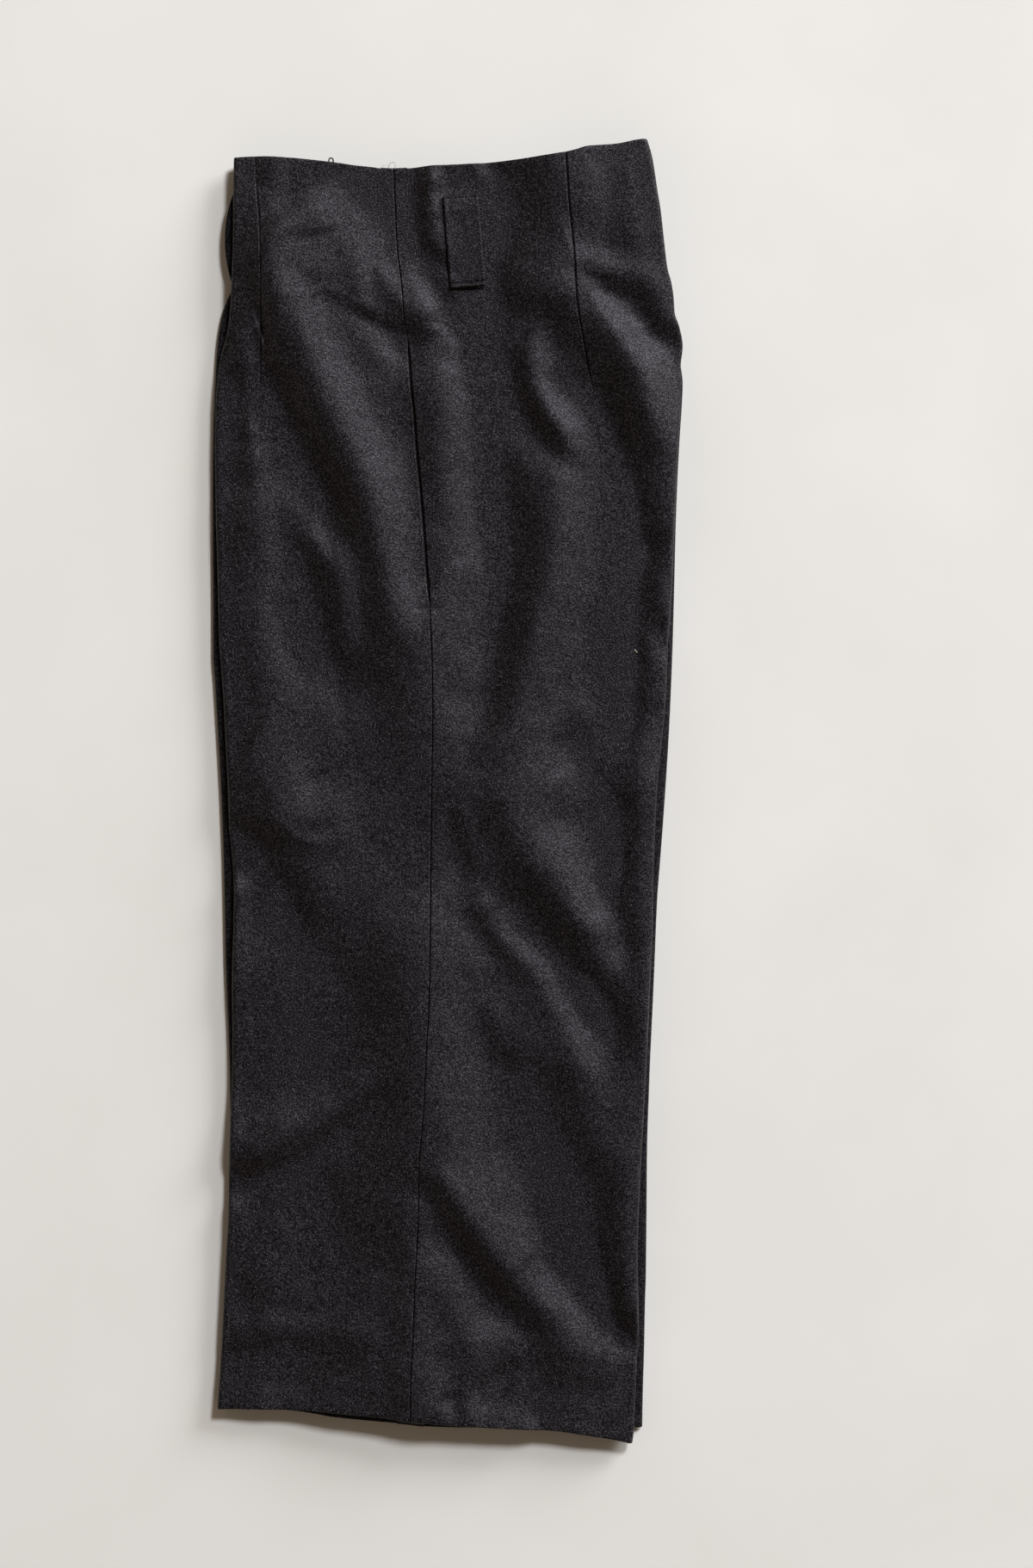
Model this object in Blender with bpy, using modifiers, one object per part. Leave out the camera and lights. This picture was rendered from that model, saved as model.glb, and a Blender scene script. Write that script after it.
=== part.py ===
# High-waisted wool trousers, folded along the leg creases and laid flat, one leg on the other.
# X runs from the front crease (-) to the back crease (+), +Y to the waist, +Z up from the floor.
# Every size below is in millimetres, and MM turns it to metres.

import math
from collections import namedtuple

import bmesh
import bpy

MM = 0.001

# Driving sizes
LENGTH = 1000.0  # top of the back waist to the lowest corner of the hem
CLOTH = 2.0  # the heavy wool's thickness
SEAM_GAP = 0.3  # between pieces that are sewn together
LAYER_GAP = 0.45  # between one leg's cloth and the other's
CREASE_HEIGHT = 5.6  # a leg's two layers at its pressed crease
CREASE_ROUND = 2.8  # how far the crease's round reaches in from the edge
CREASE_RISE = 38.0  # how far in from the crease the cloth has its full height
CROTCH_DOWN = 350.0
THINNEST_LEG = 4.7  # the least height of two layers, in the deepest hollow

# The pocket mouth in the side seam, from one bar tack to the other
POCKET_TOP, POCKET_END = 150.0, 359.0
POCKET_PART = 1.3  # how far the mouth parts at its middle
POCKET_FADE = 30.0
FACING_CLOTH, FACING_CLEAR = 1.0, 0.8
FACING_COLUMNS = 2  # the facing reaches over so many of the panel's columns

# The wide belt loops
LOOP_LENGTH, LOOP_WIDTH = 71.0, 28.0
LOOP_TOP_HEIGHT = 4.0  # its face above the panel, where its ends are turned under
LOOP_STRAP, LOOP_TURN = 2.2, 9.0  # the strap's thickness, and how far each end is turned under
LOOP_SEAT = 0.4
BACK_LOOP_X, BACK_LOOP_DOWN, BACK_LOOP_LEAN = 9.1, 42.5, 4.8  # middle of its top end, and degrees
FRONT_LOOP_DOWN = 39.0
FRONT_LOOP_STRAP = 1.5
FRONT_LOOP_CLEAR = 0.7  # from the turned-in cloth it is sewn to
FRONT_LOOP_BOW = 6.6  # how far the free middle stands out past the crease
TUCK_GAP = 5.0  # room for the two front loops between the turned-in fronts
TUCK_FULL, TUCK_SHUT = 24.0, 45.0  # in from the crease: the gap's full height, and the centre seam
TUCK_END, TUCK_FADE = 112.0, 60.0
UNDER_LOOP_RISE = 2.6  # how far the lower leg's cloth is lifted over its own back loop
UNDER_LOOP_FLAT, UNDER_LOOP_FADE = 12.0, 26.0

# The small wire eye that stands above the front waist
EYE_X, EYE_DOWN = -90.1, 13.8
EYE_WIRE, EYE_WIDTH, EYE_LEG = 1.1, 3.3, 9.0
EYE_RING = 1.6

# The outline at each distance down from the top of the back waist: the upper leg's front crease,
# side seam and back crease, and the lower leg's two creases, which show past them
Station = namedtuple("Station", "down front seam back low_front low_back")
STATIONS = [
    Station(0, -162.7, -41.6, 153.5, -162.0, 152.0),
    Station(40, -164.7, -40.2, 161.6, -163.5, 160.0),
    Station(90, -164.5, -37.9, 168.4, -163.5, 166.7),
    Station(110, -164.6, -35.1, 172.3, -163.6, 170.6),
    Station(137, -175.0, -32.9, 175.9, -173.5, 174.0),
    Station(156, -177.5, -30.5, 180.7, -176.5, 178.9),
    Station(190, -179.2, -27.6, 180.5, -178.5, 180.2),
    Station(224, -180.2, -24.5, 177.7, -180.2, 179.0),
    Station(290, -178.2, -18.5, 174.6, -180.7, 175.8),
    Station(360, -175.7, -13.9, 171.5, -180.2, 173.9),
    Station(420, -172.6, -11.3, 168.2, -178.5, 172.0),
    Station(486, -169.0, -11.7, 162.2, -174.8, 168.3),
    Station(552, -165.7, -12.6, 158.7, -172.1, 163.6),
    Station(576, -163.9, -12.7, 158.1, -171.6, 161.8),
    Station(620, -164.7, -13.2, 156.8, -170.8, 159.7),
    Station(685, -164.7, -15.1, 154.1, -168.6, 156.8),
    Station(750, -166.6, -18.5, 150.7, -167.0, 154.1),
    Station(798, -168.0, -21.7, 148.0, -167.0, 153.3),
    Station(857, -169.9, -23.7, 146.1, -168.3, 152.7),
    Station(925, -173.2, -26.5, 147.2, -171.0, 151.3),
    Station(975, -176.5, -28.4, 143.6, -174.0, 150.0),
    Station(1000, -177.9, -28.7, 142.0, -175.0, 149.8),
]

# How high each leg's two layers stand, midway between its creases, and the upper leg's at its back
# crease, which stands up at the waist
Loft = namedtuple("Loft", "down lower upper back")
LOFTS = [
    Loft(0, 7.9, 8.6, 10.0),
    Loft(110, 7.9, 8.6, 8.6),
    Loft(224, 7.6, 8.2, CREASE_HEIGHT),
    Loft(360, 7.3, 8.0, CREASE_HEIGHT),
    Loft(552, 7.0, 7.8, CREASE_HEIGHT),
    Loft(750, 7.0, 7.8, CREASE_HEIGHT),
    Loft(925, 7.4, 7.9, CREASE_HEIGHT),
    Loft(1000, 7.4, 7.9, CREASE_HEIGHT),
]

# How far each panel is turned in past its crease, to the centre seam and then the crotch curve
Turn = namedtuple("Turn", "down front back")
TURNS = [
    Turn(0, 45, 14),
    Turn(110, 52, 24),
    Turn(190, 66, 42),
    Turn(250, 82, 62),
    Turn(300, 104, 96),
    Turn(330, 132, 140),
    Turn(CROTCH_DOWN, 163, 187),
]

# The waist's and the hem's edges, by the share of the way from the side seam to the crease
Edge = namedtuple("Edge", "share front_top back_top front_hem back_hem low_front_hem low_back_hem")
EDGES = [
    Edge(0.0, 22.0, 22.0, 981.4, 981.4, 982.4, 982.4),
    Edge(0.2, 19.7, 19.3, 977.8, 984.4, 980.6, 984.8),
    Edge(0.4, 15.9, 16.6, 975.6, 987.0, 977.2, 985.6),
    Edge(0.6, 13.7, 11.8, 973.6, 988.9, 974.4, 986.0),
    Edge(0.8, 12.6, 4.6, 973.4, 993.0, 972.4, 986.2),
    Edge(1.0, 14.0, 0.0, 973.6, 1000.0, 971.4, 986.2),
]

# The line of each panel's dart, and the line that the cloth's columns keep to below it
DartLine = namedtuple("DartLine", "down front back")
DART_LINES = [
    DartLine(0, -149, 89.5),
    DartLine(60, -145, 94),
    DartLine(134, -143.6, 101),
    DartLine(203, -145.5, 113),
    DartLine(354, -142, 118),
    DartLine(552, -134, 105),
    DartLine(1000, -133, 92),
]
DART_ENDS = {"front": 190.0, "back": 222.0}
DART_DEPTH, DART_WIDTH, DART_FADE = 1.2, 1.3, 20.0
DART_SIDES = 1.6  # from the dart's line to the cloth's next columns
SEAM_SIDE = 2.5  # the same from the side seam, so that both panels' edges stand alike

# The largest folds, each a slope that runs along the line through its four points (X, down). The
# slope is over nought where the face falls to the waist and the back, and under nought where it
# rises to them; it turns round at first_half and last_half from the line, at its two ends.
Fold = namedtuple("Fold", "start second third end slope first_half last_half")
FOLDS = {
    "thigh hollow side": Fold((-142, 97), (-104, 210), (-60, 318), (-43, 434), -0.42, 8, 11),
    "thigh light side": Fold((-134, 90), (-84, 182), (-35, 278), (-22, 381), 0.24, 12, 15),
    "seam side light": Fold((-36, 88), (20, 222), (15, 366), (2, 513), 0.25, 8, 12),
    "loop side dark": Fold((-23, 9), (-20, 34), (-18, 58), (-16, 84), -0.42, 6, 6),
    "back waist dark": Fold((52, -2), (60, 53), (56, 102), (52, 156), -0.2, 34, 28),
    "upper seat dark": Fold((118, 9), (121, 30), (124, 51), (126, 71), -0.12, 26, 26),
    "loop fold dark": Fold((48, 149), (59, 185), (75, 218), (94, 249), -0.48, 6, 6),
    "loop fold light": Fold((67, 138), (76, 180), (95, 219), (112, 257), 0.34, 7, 7),
    "seat dark": Fold((94, 110), (120, 192), (152, 269), (160, 354), -0.48, 12, 13),
    "seat light": Fold((102, 102), (133, 140), (165, 175), (174, 222), 0.52, 7, 9),
    "above the seat dark": Fold((102, 93), (133, 110), (159, 135), (178, 163), -0.42, 6, 8),
    "back thigh dark": Fold((50, 193), (54, 286), (45, 380), (21, 473), -0.2, 15, 17),
    "back thigh light": Fold((101, 242), (96, 326), (86, 405), (67, 486), 0.2, 17, 20),
    "back edge dark": Fold((156, 262), (149, 412), (142, 559), (146, 711), -0.36, 11, 9),
    "front knee dark": Fold((-175, 525), (-156, 527), (-139, 530), (-121, 537), -0.52, 5, 6.5),
    "front knee soft dark": Fold((-133, 531), (-108, 561), (-93, 597), (-82, 632), -0.2, 11, 15),
    "shin dark": Fold((-179, 797), (-133, 784), (-92, 754), (-54, 725), -0.55, 7, 8),
    "beside the seam dark": Fold((-56, 592), (-48, 684), (-50, 778), (-59, 869), -0.11, 26, 30),
    "calf light": Fold((-3, 559), (9, 696), (56, 825), (135, 935), 0.24, 12, 13),
    "calf dark": Fold((-18, 785), (17, 838), (55, 892), (97, 941), -0.55, 8, 9),
    "back calf dark": Fold((65, 688), (104, 761), (123, 840), (143, 923), -0.5, 14, 8),
    "knee dark": Fold((20, 505), (68, 569), (112, 635), (148, 704), -0.5, 9, 13),
    "under the knee light": Fold((19, 576), (65, 632), (104, 691), (129, 757), 0.36, 7, 9),
    "knee light": Fold((56, 490), (81, 534), (108, 579), (134, 621), 0.28, 13, 13),
}
FOLD_STEPS = 6  # between two of its points
FOLD_FADE = 0.16  # the share of its length over which a fold fades in and out
FOLD_REACH = 3.0  # of its half widths, past which a fold is nothing

# How finely the pieces are divided
FRONT_COLUMNS, FRONT_DART_COLUMNS = 11, 2  # from the seam to the dart, and on to the crease
BACK_COLUMNS, BACK_DART_COLUMNS = 11, 5
UNDER_COLUMNS = 9
CREASE_ANGLES = [math.pi * k / 4 for k in range(5)]
TURN_OFFSETS = [8.0, 16.0, 26.0, 38.0]  # in from the crease, where the turned-in cloth bends
WAIST_ROWS, WAIST_ROW_END = 17, 0.24
LEG_ROWS, UNDER_LEG_ROWS = 33, 17

FRONT, BACK = -1, 1
UPPER, LOWER = "upper", "lower"


def blend(t):
    """0 to 1 as t goes from 0 to 1, with soft ends."""
    t = min(1.0, max(0.0, t))
    return t * t * (3 - 2 * t)


def through(rows, name, place):
    """The value at a place of the smooth curve through one column, which never overshoots its rows."""
    xs = [row[0] for row in rows]
    ys = [getattr(row, name) for row in rows]
    if place <= xs[0]:
        return ys[0]
    if place >= xs[-1]:
        return ys[-1]
    k = next(i for i in range(len(xs) - 1) if place <= xs[i + 1])

    def rise(i):
        return (ys[i + 1] - ys[i]) / (xs[i + 1] - xs[i])

    def slope(i):
        if i in (0, len(xs) - 1):
            return rise(min(i, len(xs) - 2))
        before, after = rise(i - 1), rise(i)
        if before * after <= 0:
            return 0.0
        return 2 * before * after / (before + after)

    step = xs[k + 1] - xs[k]
    t = (place - xs[k]) / step
    start, end = slope(k) * step, slope(k + 1) * step
    return (
        ys[k] * (1 + 2 * t) * (1 - t) ** 2
        + start * t * (1 - t) ** 2
        + ys[k + 1] * t * t * (3 - 2 * t)
        + end * t * t * (t - 1)
    )


def crease_x(leg, side, down):
    """Where a leg's front or back crease lies."""
    name = {FRONT: "front", BACK: "back"}[side]
    return through(STATIONS, name if leg == UPPER else "low_" + name, down)


def seam_x(down):
    return through(STATIONS, "seam", down)


def fold_line(fold):
    """Points along the smooth line through a fold's four points."""
    given = [fold.start, fold.second, fold.third, fold.end]
    before = [2 * given[0][k] - given[1][k] for k in (0, 1)]
    after = [2 * given[3][k] - given[2][k] for k in (0, 1)]
    padded = [before, *given, after]
    line = []
    for a, b, c, d in zip(padded, padded[1:], padded[2:], padded[3:]):
        for step in range(FOLD_STEPS):
            t = step / FOLD_STEPS
            line.append(
                [
                    b[k]
                    + (c[k] - a[k]) * t / 2
                    + (2 * a[k] - 5 * b[k] + 4 * c[k] - d[k]) * t**2 / 2
                    + (3 * b[k] - a[k] - 3 * c[k] + d[k]) * t**3 / 2
                    for k in (0, 1)
                ]
            )
    return line + [list(fold.end)]


FOLD_LINES = [(fold, fold_line(fold)) for fold in FOLDS.values()]


def folds_at(x, down):
    """The sum of the folds' heights at a point."""
    total = 0.0
    for fold, line in FOLD_LINES:
        nearest, share, left_of_it = 1e9, 0.0, False
        for step in range(len(line) - 1):
            (ax, ay), (bx, by) = line[step], line[step + 1]
            dx, dy = bx - ax, by - ay
            t = ((x - ax) * dx + (down - ay) * dy) / (dx * dx + dy * dy)
            t = min(1.0, max(0.0, t))
            away = math.hypot(x - ax - t * dx, down - ay - t * dy)
            if away < nearest:
                nearest, share = away, (step + t) / (len(line) - 1)
                left_of_it = dx * (down - ay) - dy * (x - ax) > 0
        half = fold.first_half + (fold.last_half - fold.first_half) * share
        if nearest < FOLD_REACH * half:
            across = nearest * math.exp(-((nearest / half) ** 2) / 2)
            along = blend(share / FOLD_FADE) * blend((1 - share) / FOLD_FADE)
            total += fold.slope * across * along * (1 if left_of_it == runs_down(line) else -1)
    return total


def runs_down(line):
    """Whether a line runs down, or else across: its left is then the side away from the waist."""
    return line[-1][0] - line[0][0] + line[-1][1] - line[0][1] > 0


def dart_groove(x, down):
    """How deep the sewn darts draw the cloth in."""
    total = 0.0
    for name, end in DART_ENDS.items():
        away = x - through(DART_LINES, name, down)
        total += math.exp(-((away / DART_WIDTH) ** 2)) * blend((end - down) / DART_FADE)
    return total * DART_DEPTH


def full_height_share(leg, x, down):
    """0 at a leg's creases and 1 from CREASE_RISE inside them."""
    inside = min(x - crease_x(leg, FRONT, down), crease_x(leg, BACK, down) - x)
    return blend((inside - CREASE_ROUND) / CREASE_RISE)


def lower_bottom(x, down):
    """The underside: flat on the floor, but lifted over the lower leg's own back loop."""
    off_x = abs(x - BACK_LOOP_X) - LOOP_WIDTH / 2
    off_down = abs(down - BACK_LOOP_DOWN - LOOP_LENGTH / 2) - LOOP_LENGTH / 2
    away = math.hypot(max(0.0, off_x - UNDER_LOOP_FLAT), max(0.0, off_down - UNDER_LOOP_FLAT))
    return UNDER_LOOP_RISE * (1 - blend(away / UNDER_LOOP_FADE))


def lower_top(x, down):
    """The lower leg's upper face, on which the upper leg lies."""
    loft = through(LOFTS, "lower", down)
    return CREASE_HEIGHT + (loft - CREASE_HEIGHT) * full_height_share(LOWER, x, down)


def tuck_gap(x, down):
    """The gap between the legs, wider where the front loops lie between the turned-in fronts."""
    inside = x - crease_x(UPPER, FRONT, down)
    shut = blend((inside - TUCK_FULL) / (TUCK_SHUT - TUCK_FULL))
    ended = blend((down - TUCK_END) / TUCK_FADE)
    return LAYER_GAP + (TUCK_GAP - LAYER_GAP) * (1 - shut) * (1 - ended)


def upper_bottom(x, down):
    return lower_top(x, down) + tuck_gap(x, down)


def upper_top(x, down):
    """The face that shows: the upper leg's loft and its folds."""
    loft = through(LOFTS, "upper", down)
    edge = through(LOFTS, "back", down) if x > seam_x(down) else CREASE_HEIGHT
    height = edge + (loft - edge) * full_height_share(UPPER, x, down)
    return upper_bottom(x, down) + max(THINNEST_LEG, height + folds_at(x, down)) - dart_groove(x, down)


def pocket_parting(down):
    """Half the gap between front and back along the side seam."""
    open_here = blend((down - POCKET_TOP) / POCKET_FADE) * blend((POCKET_END - down) / POCKET_FADE)
    return SEAM_GAP / 2 + open_here * (POCKET_PART - SEAM_GAP) / 2


def down_at(leg, side, share, row):
    """How far down a point lies, from its share of the way out from the seam and down the leg."""
    side_name = {FRONT: "front", BACK: "back"}[side]
    top = through(EDGES, side_name + "_top", share)
    hem = through(EDGES, ("" if leg == UPPER else "low_") + side_name + "_hem", share)
    top += 0.0 if leg == UPPER else 2.0
    return top + (hem - top) * row


def outer_point(leg, side, share, row):
    """A point of the layer that faces out: up on the upper leg, down to the floor on the lower."""
    down = down_at(leg, side, share, row)
    seam = seam_x(down) + side * pocket_parting(down)
    x = seam + share * (crease_x(leg, side, down) - side * CREASE_ROUND - seam)
    return x, down, (upper_top if leg == UPPER else lower_bottom)(x, down)


def crease_point(leg, side, angle, row):
    """A point of the round at the crease, from the outer layer (angle 0) to the turned-in one."""
    down = down_at(leg, side, 1.0, row)
    middle = crease_x(leg, side, down) - side * CREASE_ROUND
    if leg == UPPER:
        outer, turned = upper_top(middle, down), upper_bottom(middle, down)
    else:
        outer, turned = lower_bottom(middle, down), lower_top(middle, down)
    z = (outer + turned) / 2 + math.cos(angle) * (outer - turned) / 2
    return middle + side * CREASE_ROUND * math.sin(angle), down, z


def turned_in(side, down, width):
    """How far the turned-in layer reaches from its crease: the centre seam, or the inseam below."""
    if down >= CROTCH_DOWN:
        return width
    name = {FRONT: "front", BACK: "back"}[side]
    return min(width, through(TURNS, name, down))


def inner_point(leg, side, step, row):
    """A point of the turned-in layer, numbered from the crease."""
    down = down_at(leg, side, 1.0, row)
    for _ in range(3):
        crease = crease_x(leg, side, down) - side * CREASE_ROUND
        width = abs(crease - seam_x(down)) - SEAM_GAP / 2
        reach = turned_in(side, down, width)
        shrink = min(1.0, 0.8 * reach / TURN_OFFSETS[-1])
        offsets = [shrink * offset for offset in TURN_OFFSETS]
        offsets += [(offsets[-1] + reach) / 2, reach]
        down = down_at(leg, side, 1 - offsets[step] / width, row)
    x = crease - side * offsets[step]
    return x, down, (upper_bottom if leg == UPPER else lower_top)(x, down)


def panel_rows(leg):
    """Each row's share of the way down, close together above the hip."""
    count = LEG_ROWS if leg == UPPER else UNDER_LEG_ROWS
    rows = [WAIST_ROW_END * k / WAIST_ROWS for k in range(WAIST_ROWS)]
    return rows + [WAIST_ROW_END + (1 - WAIST_ROW_END) * k / count for k in range(count + 1)]


def seam_width(leg, side, row):
    """How far it is from the side seam to the crease's round, about midway on a row."""
    down = down_at(leg, side, 0.5, row)
    return abs(crease_x(leg, side, down) - side * CREASE_ROUND - seam_x(down))


def outer_shares(leg, side, row):
    """Where a row's columns lie, as shares of the way from the seam to the crease."""
    if leg == LOWER:
        return [k / UNDER_COLUMNS for k in range(UNDER_COLUMNS + 1)]
    before, after = (
        (FRONT_COLUMNS, FRONT_DART_COLUMNS) if side == FRONT else (BACK_COLUMNS, BACK_DART_COLUMNS)
    )
    down, width = down_at(leg, side, 0.5, row), seam_width(leg, side, row)
    dart = abs(through(DART_LINES, {FRONT: "front", BACK: "back"}[side], down) - seam_x(down)) / width
    apart = DART_SIDES / width
    shares = [0.0, SEAM_SIDE / width] + [(dart - apart) * k / before for k in range(1, before + 1)]
    return shares + [dart] + [dart + apart + (1 - dart - apart) * k / after for k in range(after + 1)]


def place(point):
    """A point given as X, down and Z in millimetres, in the model's metres."""
    x, down, z = point
    return (x * MM, (LENGTH / 2 - down) * MM, z * MM)


def cloth_sheet(name, rows_of_points, flip, thickness, material):
    """A wall of cloth: a grid laid through the points, thickened on the side away from its face.

    Rows that go down with columns that go to +X face the floor, until they are flipped.
    """
    rows, columns = len(rows_of_points) - 1, len(rows_of_points[0]) - 1
    sheet = bmesh.new()
    bmesh.ops.create_grid(sheet, x_segments=columns, y_segments=rows, size=0.5)
    for vert in sheet.verts:
        column, row = round((vert.co.x + 0.5) * columns), round((vert.co.y + 0.5) * rows)
        vert.co = place(rows_of_points[row][column])
    if flip:
        bmesh.ops.reverse_faces(sheet, faces=sheet.faces)
    mesh = bpy.data.meshes.new(name)
    sheet.to_mesh(mesh)
    sheet.free()
    mesh.shade_smooth()
    piece = add_piece(name, mesh, material)
    wall = piece.modifiers.new("Cloth thickness", "SOLIDIFY")
    wall.thickness, wall.offset = thickness * MM, -1.0
    return piece


def add_piece(name, data, material):
    piece = bpy.data.objects.new(name, data)
    data.materials.append(material)
    trousers.objects.link(piece)
    return piece


def panel(leg, side, material):
    """A front or back: from the side seam to the crease, round it, and in to the inseam."""
    rows = []
    for row in panel_rows(leg):
        points = [outer_point(leg, side, share, row) for share in outer_shares(leg, side, row)]
        points += [crease_point(leg, side, angle, row) for angle in CREASE_ANGLES[1:]]
        points += [inner_point(leg, side, k, row) for k in range(len(TURN_OFFSETS) + 2)]
        rows.append(points)
    name = {FRONT: "front", BACK: "back"}[side] + "_" + leg + "_leg"
    return cloth_sheet(name, rows, (side == BACK) == (leg == UPPER), CLOTH, material)


def pocket_facing(leg, material):
    """The strip seen through the pocket mouth, made from the panels' own points, moved inside."""
    inward = -(CLOTH + FACING_CLEAR) if leg == UPPER else CLOTH + FACING_CLEAR
    rows = []
    for row in panel_rows(leg):
        shares = {side: outer_shares(leg, side, row)[: FACING_COLUMNS + 1] for side in (FRONT, BACK)}
        points = [
            outer_point(leg, side, share, row)
            for side, share in [(FRONT, share) for share in reversed(shares[FRONT])]
            + [(BACK, share) for share in shares[BACK]]
        ]
        if POCKET_TOP - 8 < points[FACING_COLUMNS][1] < POCKET_END + 20:
            rows.append([(x, down, z + inward) for x, down, z in points])
    return cloth_sheet("pocket_facing_" + leg, rows, leg == UPPER, FACING_CLOTH, material)


def loop_point(along, across):
    """X and down of a point of the back loop, from its top end and its middle line."""
    lean = math.radians(BACK_LOOP_LEAN)
    x = BACK_LOOP_X + along * math.sin(lean) + across * math.cos(lean)
    down = BACK_LOOP_DOWN + along * math.cos(lean) - across * math.sin(lean)
    return x, down


def back_loop_on_top(material):
    """The loop that shows: a strap whose two ends are turned under and sewn to the back panel."""
    ends = [0.0, LOOP_TURN / 2, LOOP_TURN]
    middle = [LOOP_LENGTH * k / 6 for k in (1.2, 2, 3, 4, 4.8)]
    along = ends + middle + [LOOP_LENGTH - end for end in reversed(ends)]
    rows = []
    for a in along:
        points = [loop_point(a, LOOP_WIDTH * (k / 4 - 0.5)) for k in range(5)]
        rows.append([(x, down, upper_top(x, down) + LOOP_TOP_HEIGHT) for x, down in points])
    piece = cloth_sheet("belt_loop_back_upper", rows, True, LOOP_TOP_HEIGHT - LOOP_SEAT, material)
    turned = piece.vertex_groups.new(name="turned under")
    bottom_of_rows = len(rows[0])
    for vert in piece.data.vertices:
        row = vert.index // bottom_of_rows
        if row <= 2 or row >= len(rows) - 3:
            turned.add([vert.index], 1.0, "REPLACE")
    wall = piece.modifiers["Cloth thickness"]
    wall.vertex_group = turned.name
    wall.thickness_vertex_group = LOOP_STRAP / (LOOP_TOP_HEIGHT - LOOP_SEAT)
    return piece


def back_loop_beneath(material):
    """The lower leg's own back loop, flat on the floor."""
    rows = []
    for k in range(7):
        points = [loop_point(LOOP_LENGTH * k / 6, LOOP_WIDTH * (j / 2 - 0.5)) for j in range(3)]
        rows.append([(x, down, 0.0) for x, down in points])
    return cloth_sheet("belt_loop_back_lower", rows, False, LOOP_STRAP, material)


def front_loop(leg, material):
    """A front loop, sewn inside the tuck: its free middle bows out past the crease."""
    rows = []
    for k in range(13):
        along = k / 12
        down = FRONT_LOOP_DOWN + LOOP_LENGTH * along
        edge = crease_x(UPPER, FRONT, down) + 0.5 - FRONT_LOOP_BOW * math.sin(math.pi * along)
        points = []
        for j in range(5):
            x = edge + LOOP_WIDTH * j / 4
            on_cloth = max(x, crease_x(UPPER, FRONT, down) + CREASE_ROUND)
            if leg == UPPER:
                z = upper_bottom(on_cloth, down) - FRONT_LOOP_CLEAR
            else:
                z = lower_top(on_cloth, down) + FRONT_LOOP_CLEAR
            points.append((x, down, z))
        rows.append(points)
    return cloth_sheet("belt_loop_front_" + leg, rows, leg == UPPER, FRONT_LOOP_STRAP, material)


def waist_eye(material):
    """A bent wire eye: two sewing rings, two legs, and the arch that stands above the waist."""
    half = EYE_WIDTH / 2
    ring_down = EYE_DOWN + half + EYE_LEG
    path = []
    for k in range(9):
        turn = math.radians(40 + 280 * k / 8)
        path.append((-half - EYE_RING + EYE_RING * math.cos(turn), ring_down + EYE_RING * math.sin(turn)))
    path.append((-half, ring_down - 3.0))
    for k in range(9):
        turn = math.pi * k / 8
        path.append((-half * math.cos(turn), EYE_DOWN + half - half * math.sin(turn)))
    path.append((half, ring_down - 3.0))
    path += [(-x, down) for x, down in reversed(path[:9])]
    depth = CLOTH + SEAM_GAP + EYE_WIRE / 2
    level = upper_top(EYE_X, EYE_DOWN + 8) - depth
    curve = bpy.data.curves.new("waist_eye", "CURVE")
    curve.dimensions = "3D"
    spline = curve.splines.new("POLY")
    spline.points.add(len(path) - 1)
    for point, (x, down) in zip(spline.points, path):
        point.co = (*place((EYE_X + x, down, level)), 1.0)
    curve.bevel_depth, curve.bevel_resolution = EYE_WIRE / 2 * MM, 1
    curve.use_fill_caps = True
    return add_piece("waist_eye", curve, material)


def finish(name, colour, roughness, metallic=0.0):
    material = bpy.data.materials.new(name)
    material.use_nodes = True
    shader = material.node_tree.nodes["Principled BSDF"]
    shader.inputs["Base Color"].default_value = (*colour, 1.0)
    shader.inputs["Roughness"].default_value = roughness
    shader.inputs["Metallic"].default_value = metallic
    return material


for old in list(bpy.data.objects):
    bpy.data.objects.remove(old)
trousers = bpy.data.collections.new("wool trousers")
bpy.context.scene.collection.children.link(trousers)

wool = finish("charcoal wool flannel", (0.030, 0.028, 0.031), 0.95)
loop_wool = finish("charcoal wool, folded strap", (0.027, 0.025, 0.028), 0.95)
facing_cloth = finish("black pocketing twill", (0.010, 0.010, 0.011), 0.85)
wire = finish("black enamelled wire", (0.012, 0.012, 0.013), 0.35, 0.6)

for leg in (LOWER, UPPER):
    for side in (FRONT, BACK):
        panel(leg, side, wool)
    pocket_facing(leg, facing_cloth)
    front_loop(leg, loop_wool)
back_loop_on_top(loop_wool)
back_loop_beneath(loop_wool)
waist_eye(wire)
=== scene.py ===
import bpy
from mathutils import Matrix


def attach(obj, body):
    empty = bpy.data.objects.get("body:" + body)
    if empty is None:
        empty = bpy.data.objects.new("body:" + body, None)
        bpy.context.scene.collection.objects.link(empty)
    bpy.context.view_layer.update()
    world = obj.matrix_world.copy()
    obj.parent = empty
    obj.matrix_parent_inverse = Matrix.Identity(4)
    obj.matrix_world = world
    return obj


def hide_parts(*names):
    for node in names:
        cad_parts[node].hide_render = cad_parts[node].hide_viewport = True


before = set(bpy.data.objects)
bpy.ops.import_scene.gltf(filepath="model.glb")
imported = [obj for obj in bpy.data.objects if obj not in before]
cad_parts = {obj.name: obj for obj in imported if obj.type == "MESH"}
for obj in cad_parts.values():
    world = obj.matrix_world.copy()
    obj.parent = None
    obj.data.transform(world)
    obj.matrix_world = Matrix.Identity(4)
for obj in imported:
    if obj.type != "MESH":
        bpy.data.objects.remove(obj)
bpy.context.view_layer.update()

import math

import bmesh
import bpy
import numpy as np
from mathutils import Vector

mm = 0.001
middleDown = 500.0  # mm from the waist's line down to the origin
print("frame loaded:", len(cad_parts), "nodes")


# A hex sRGB colour as Blender's linear one
def linearColour(hexColour):
    parts = [int(hexColour[k:k + 2], 16) / 255 for k in (1, 3, 5)]
    return [p / 12.92 if p <= 0.04045 else ((p + 0.055) / 1.055) ** 2.4 for p in parts] + [1.0]


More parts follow.
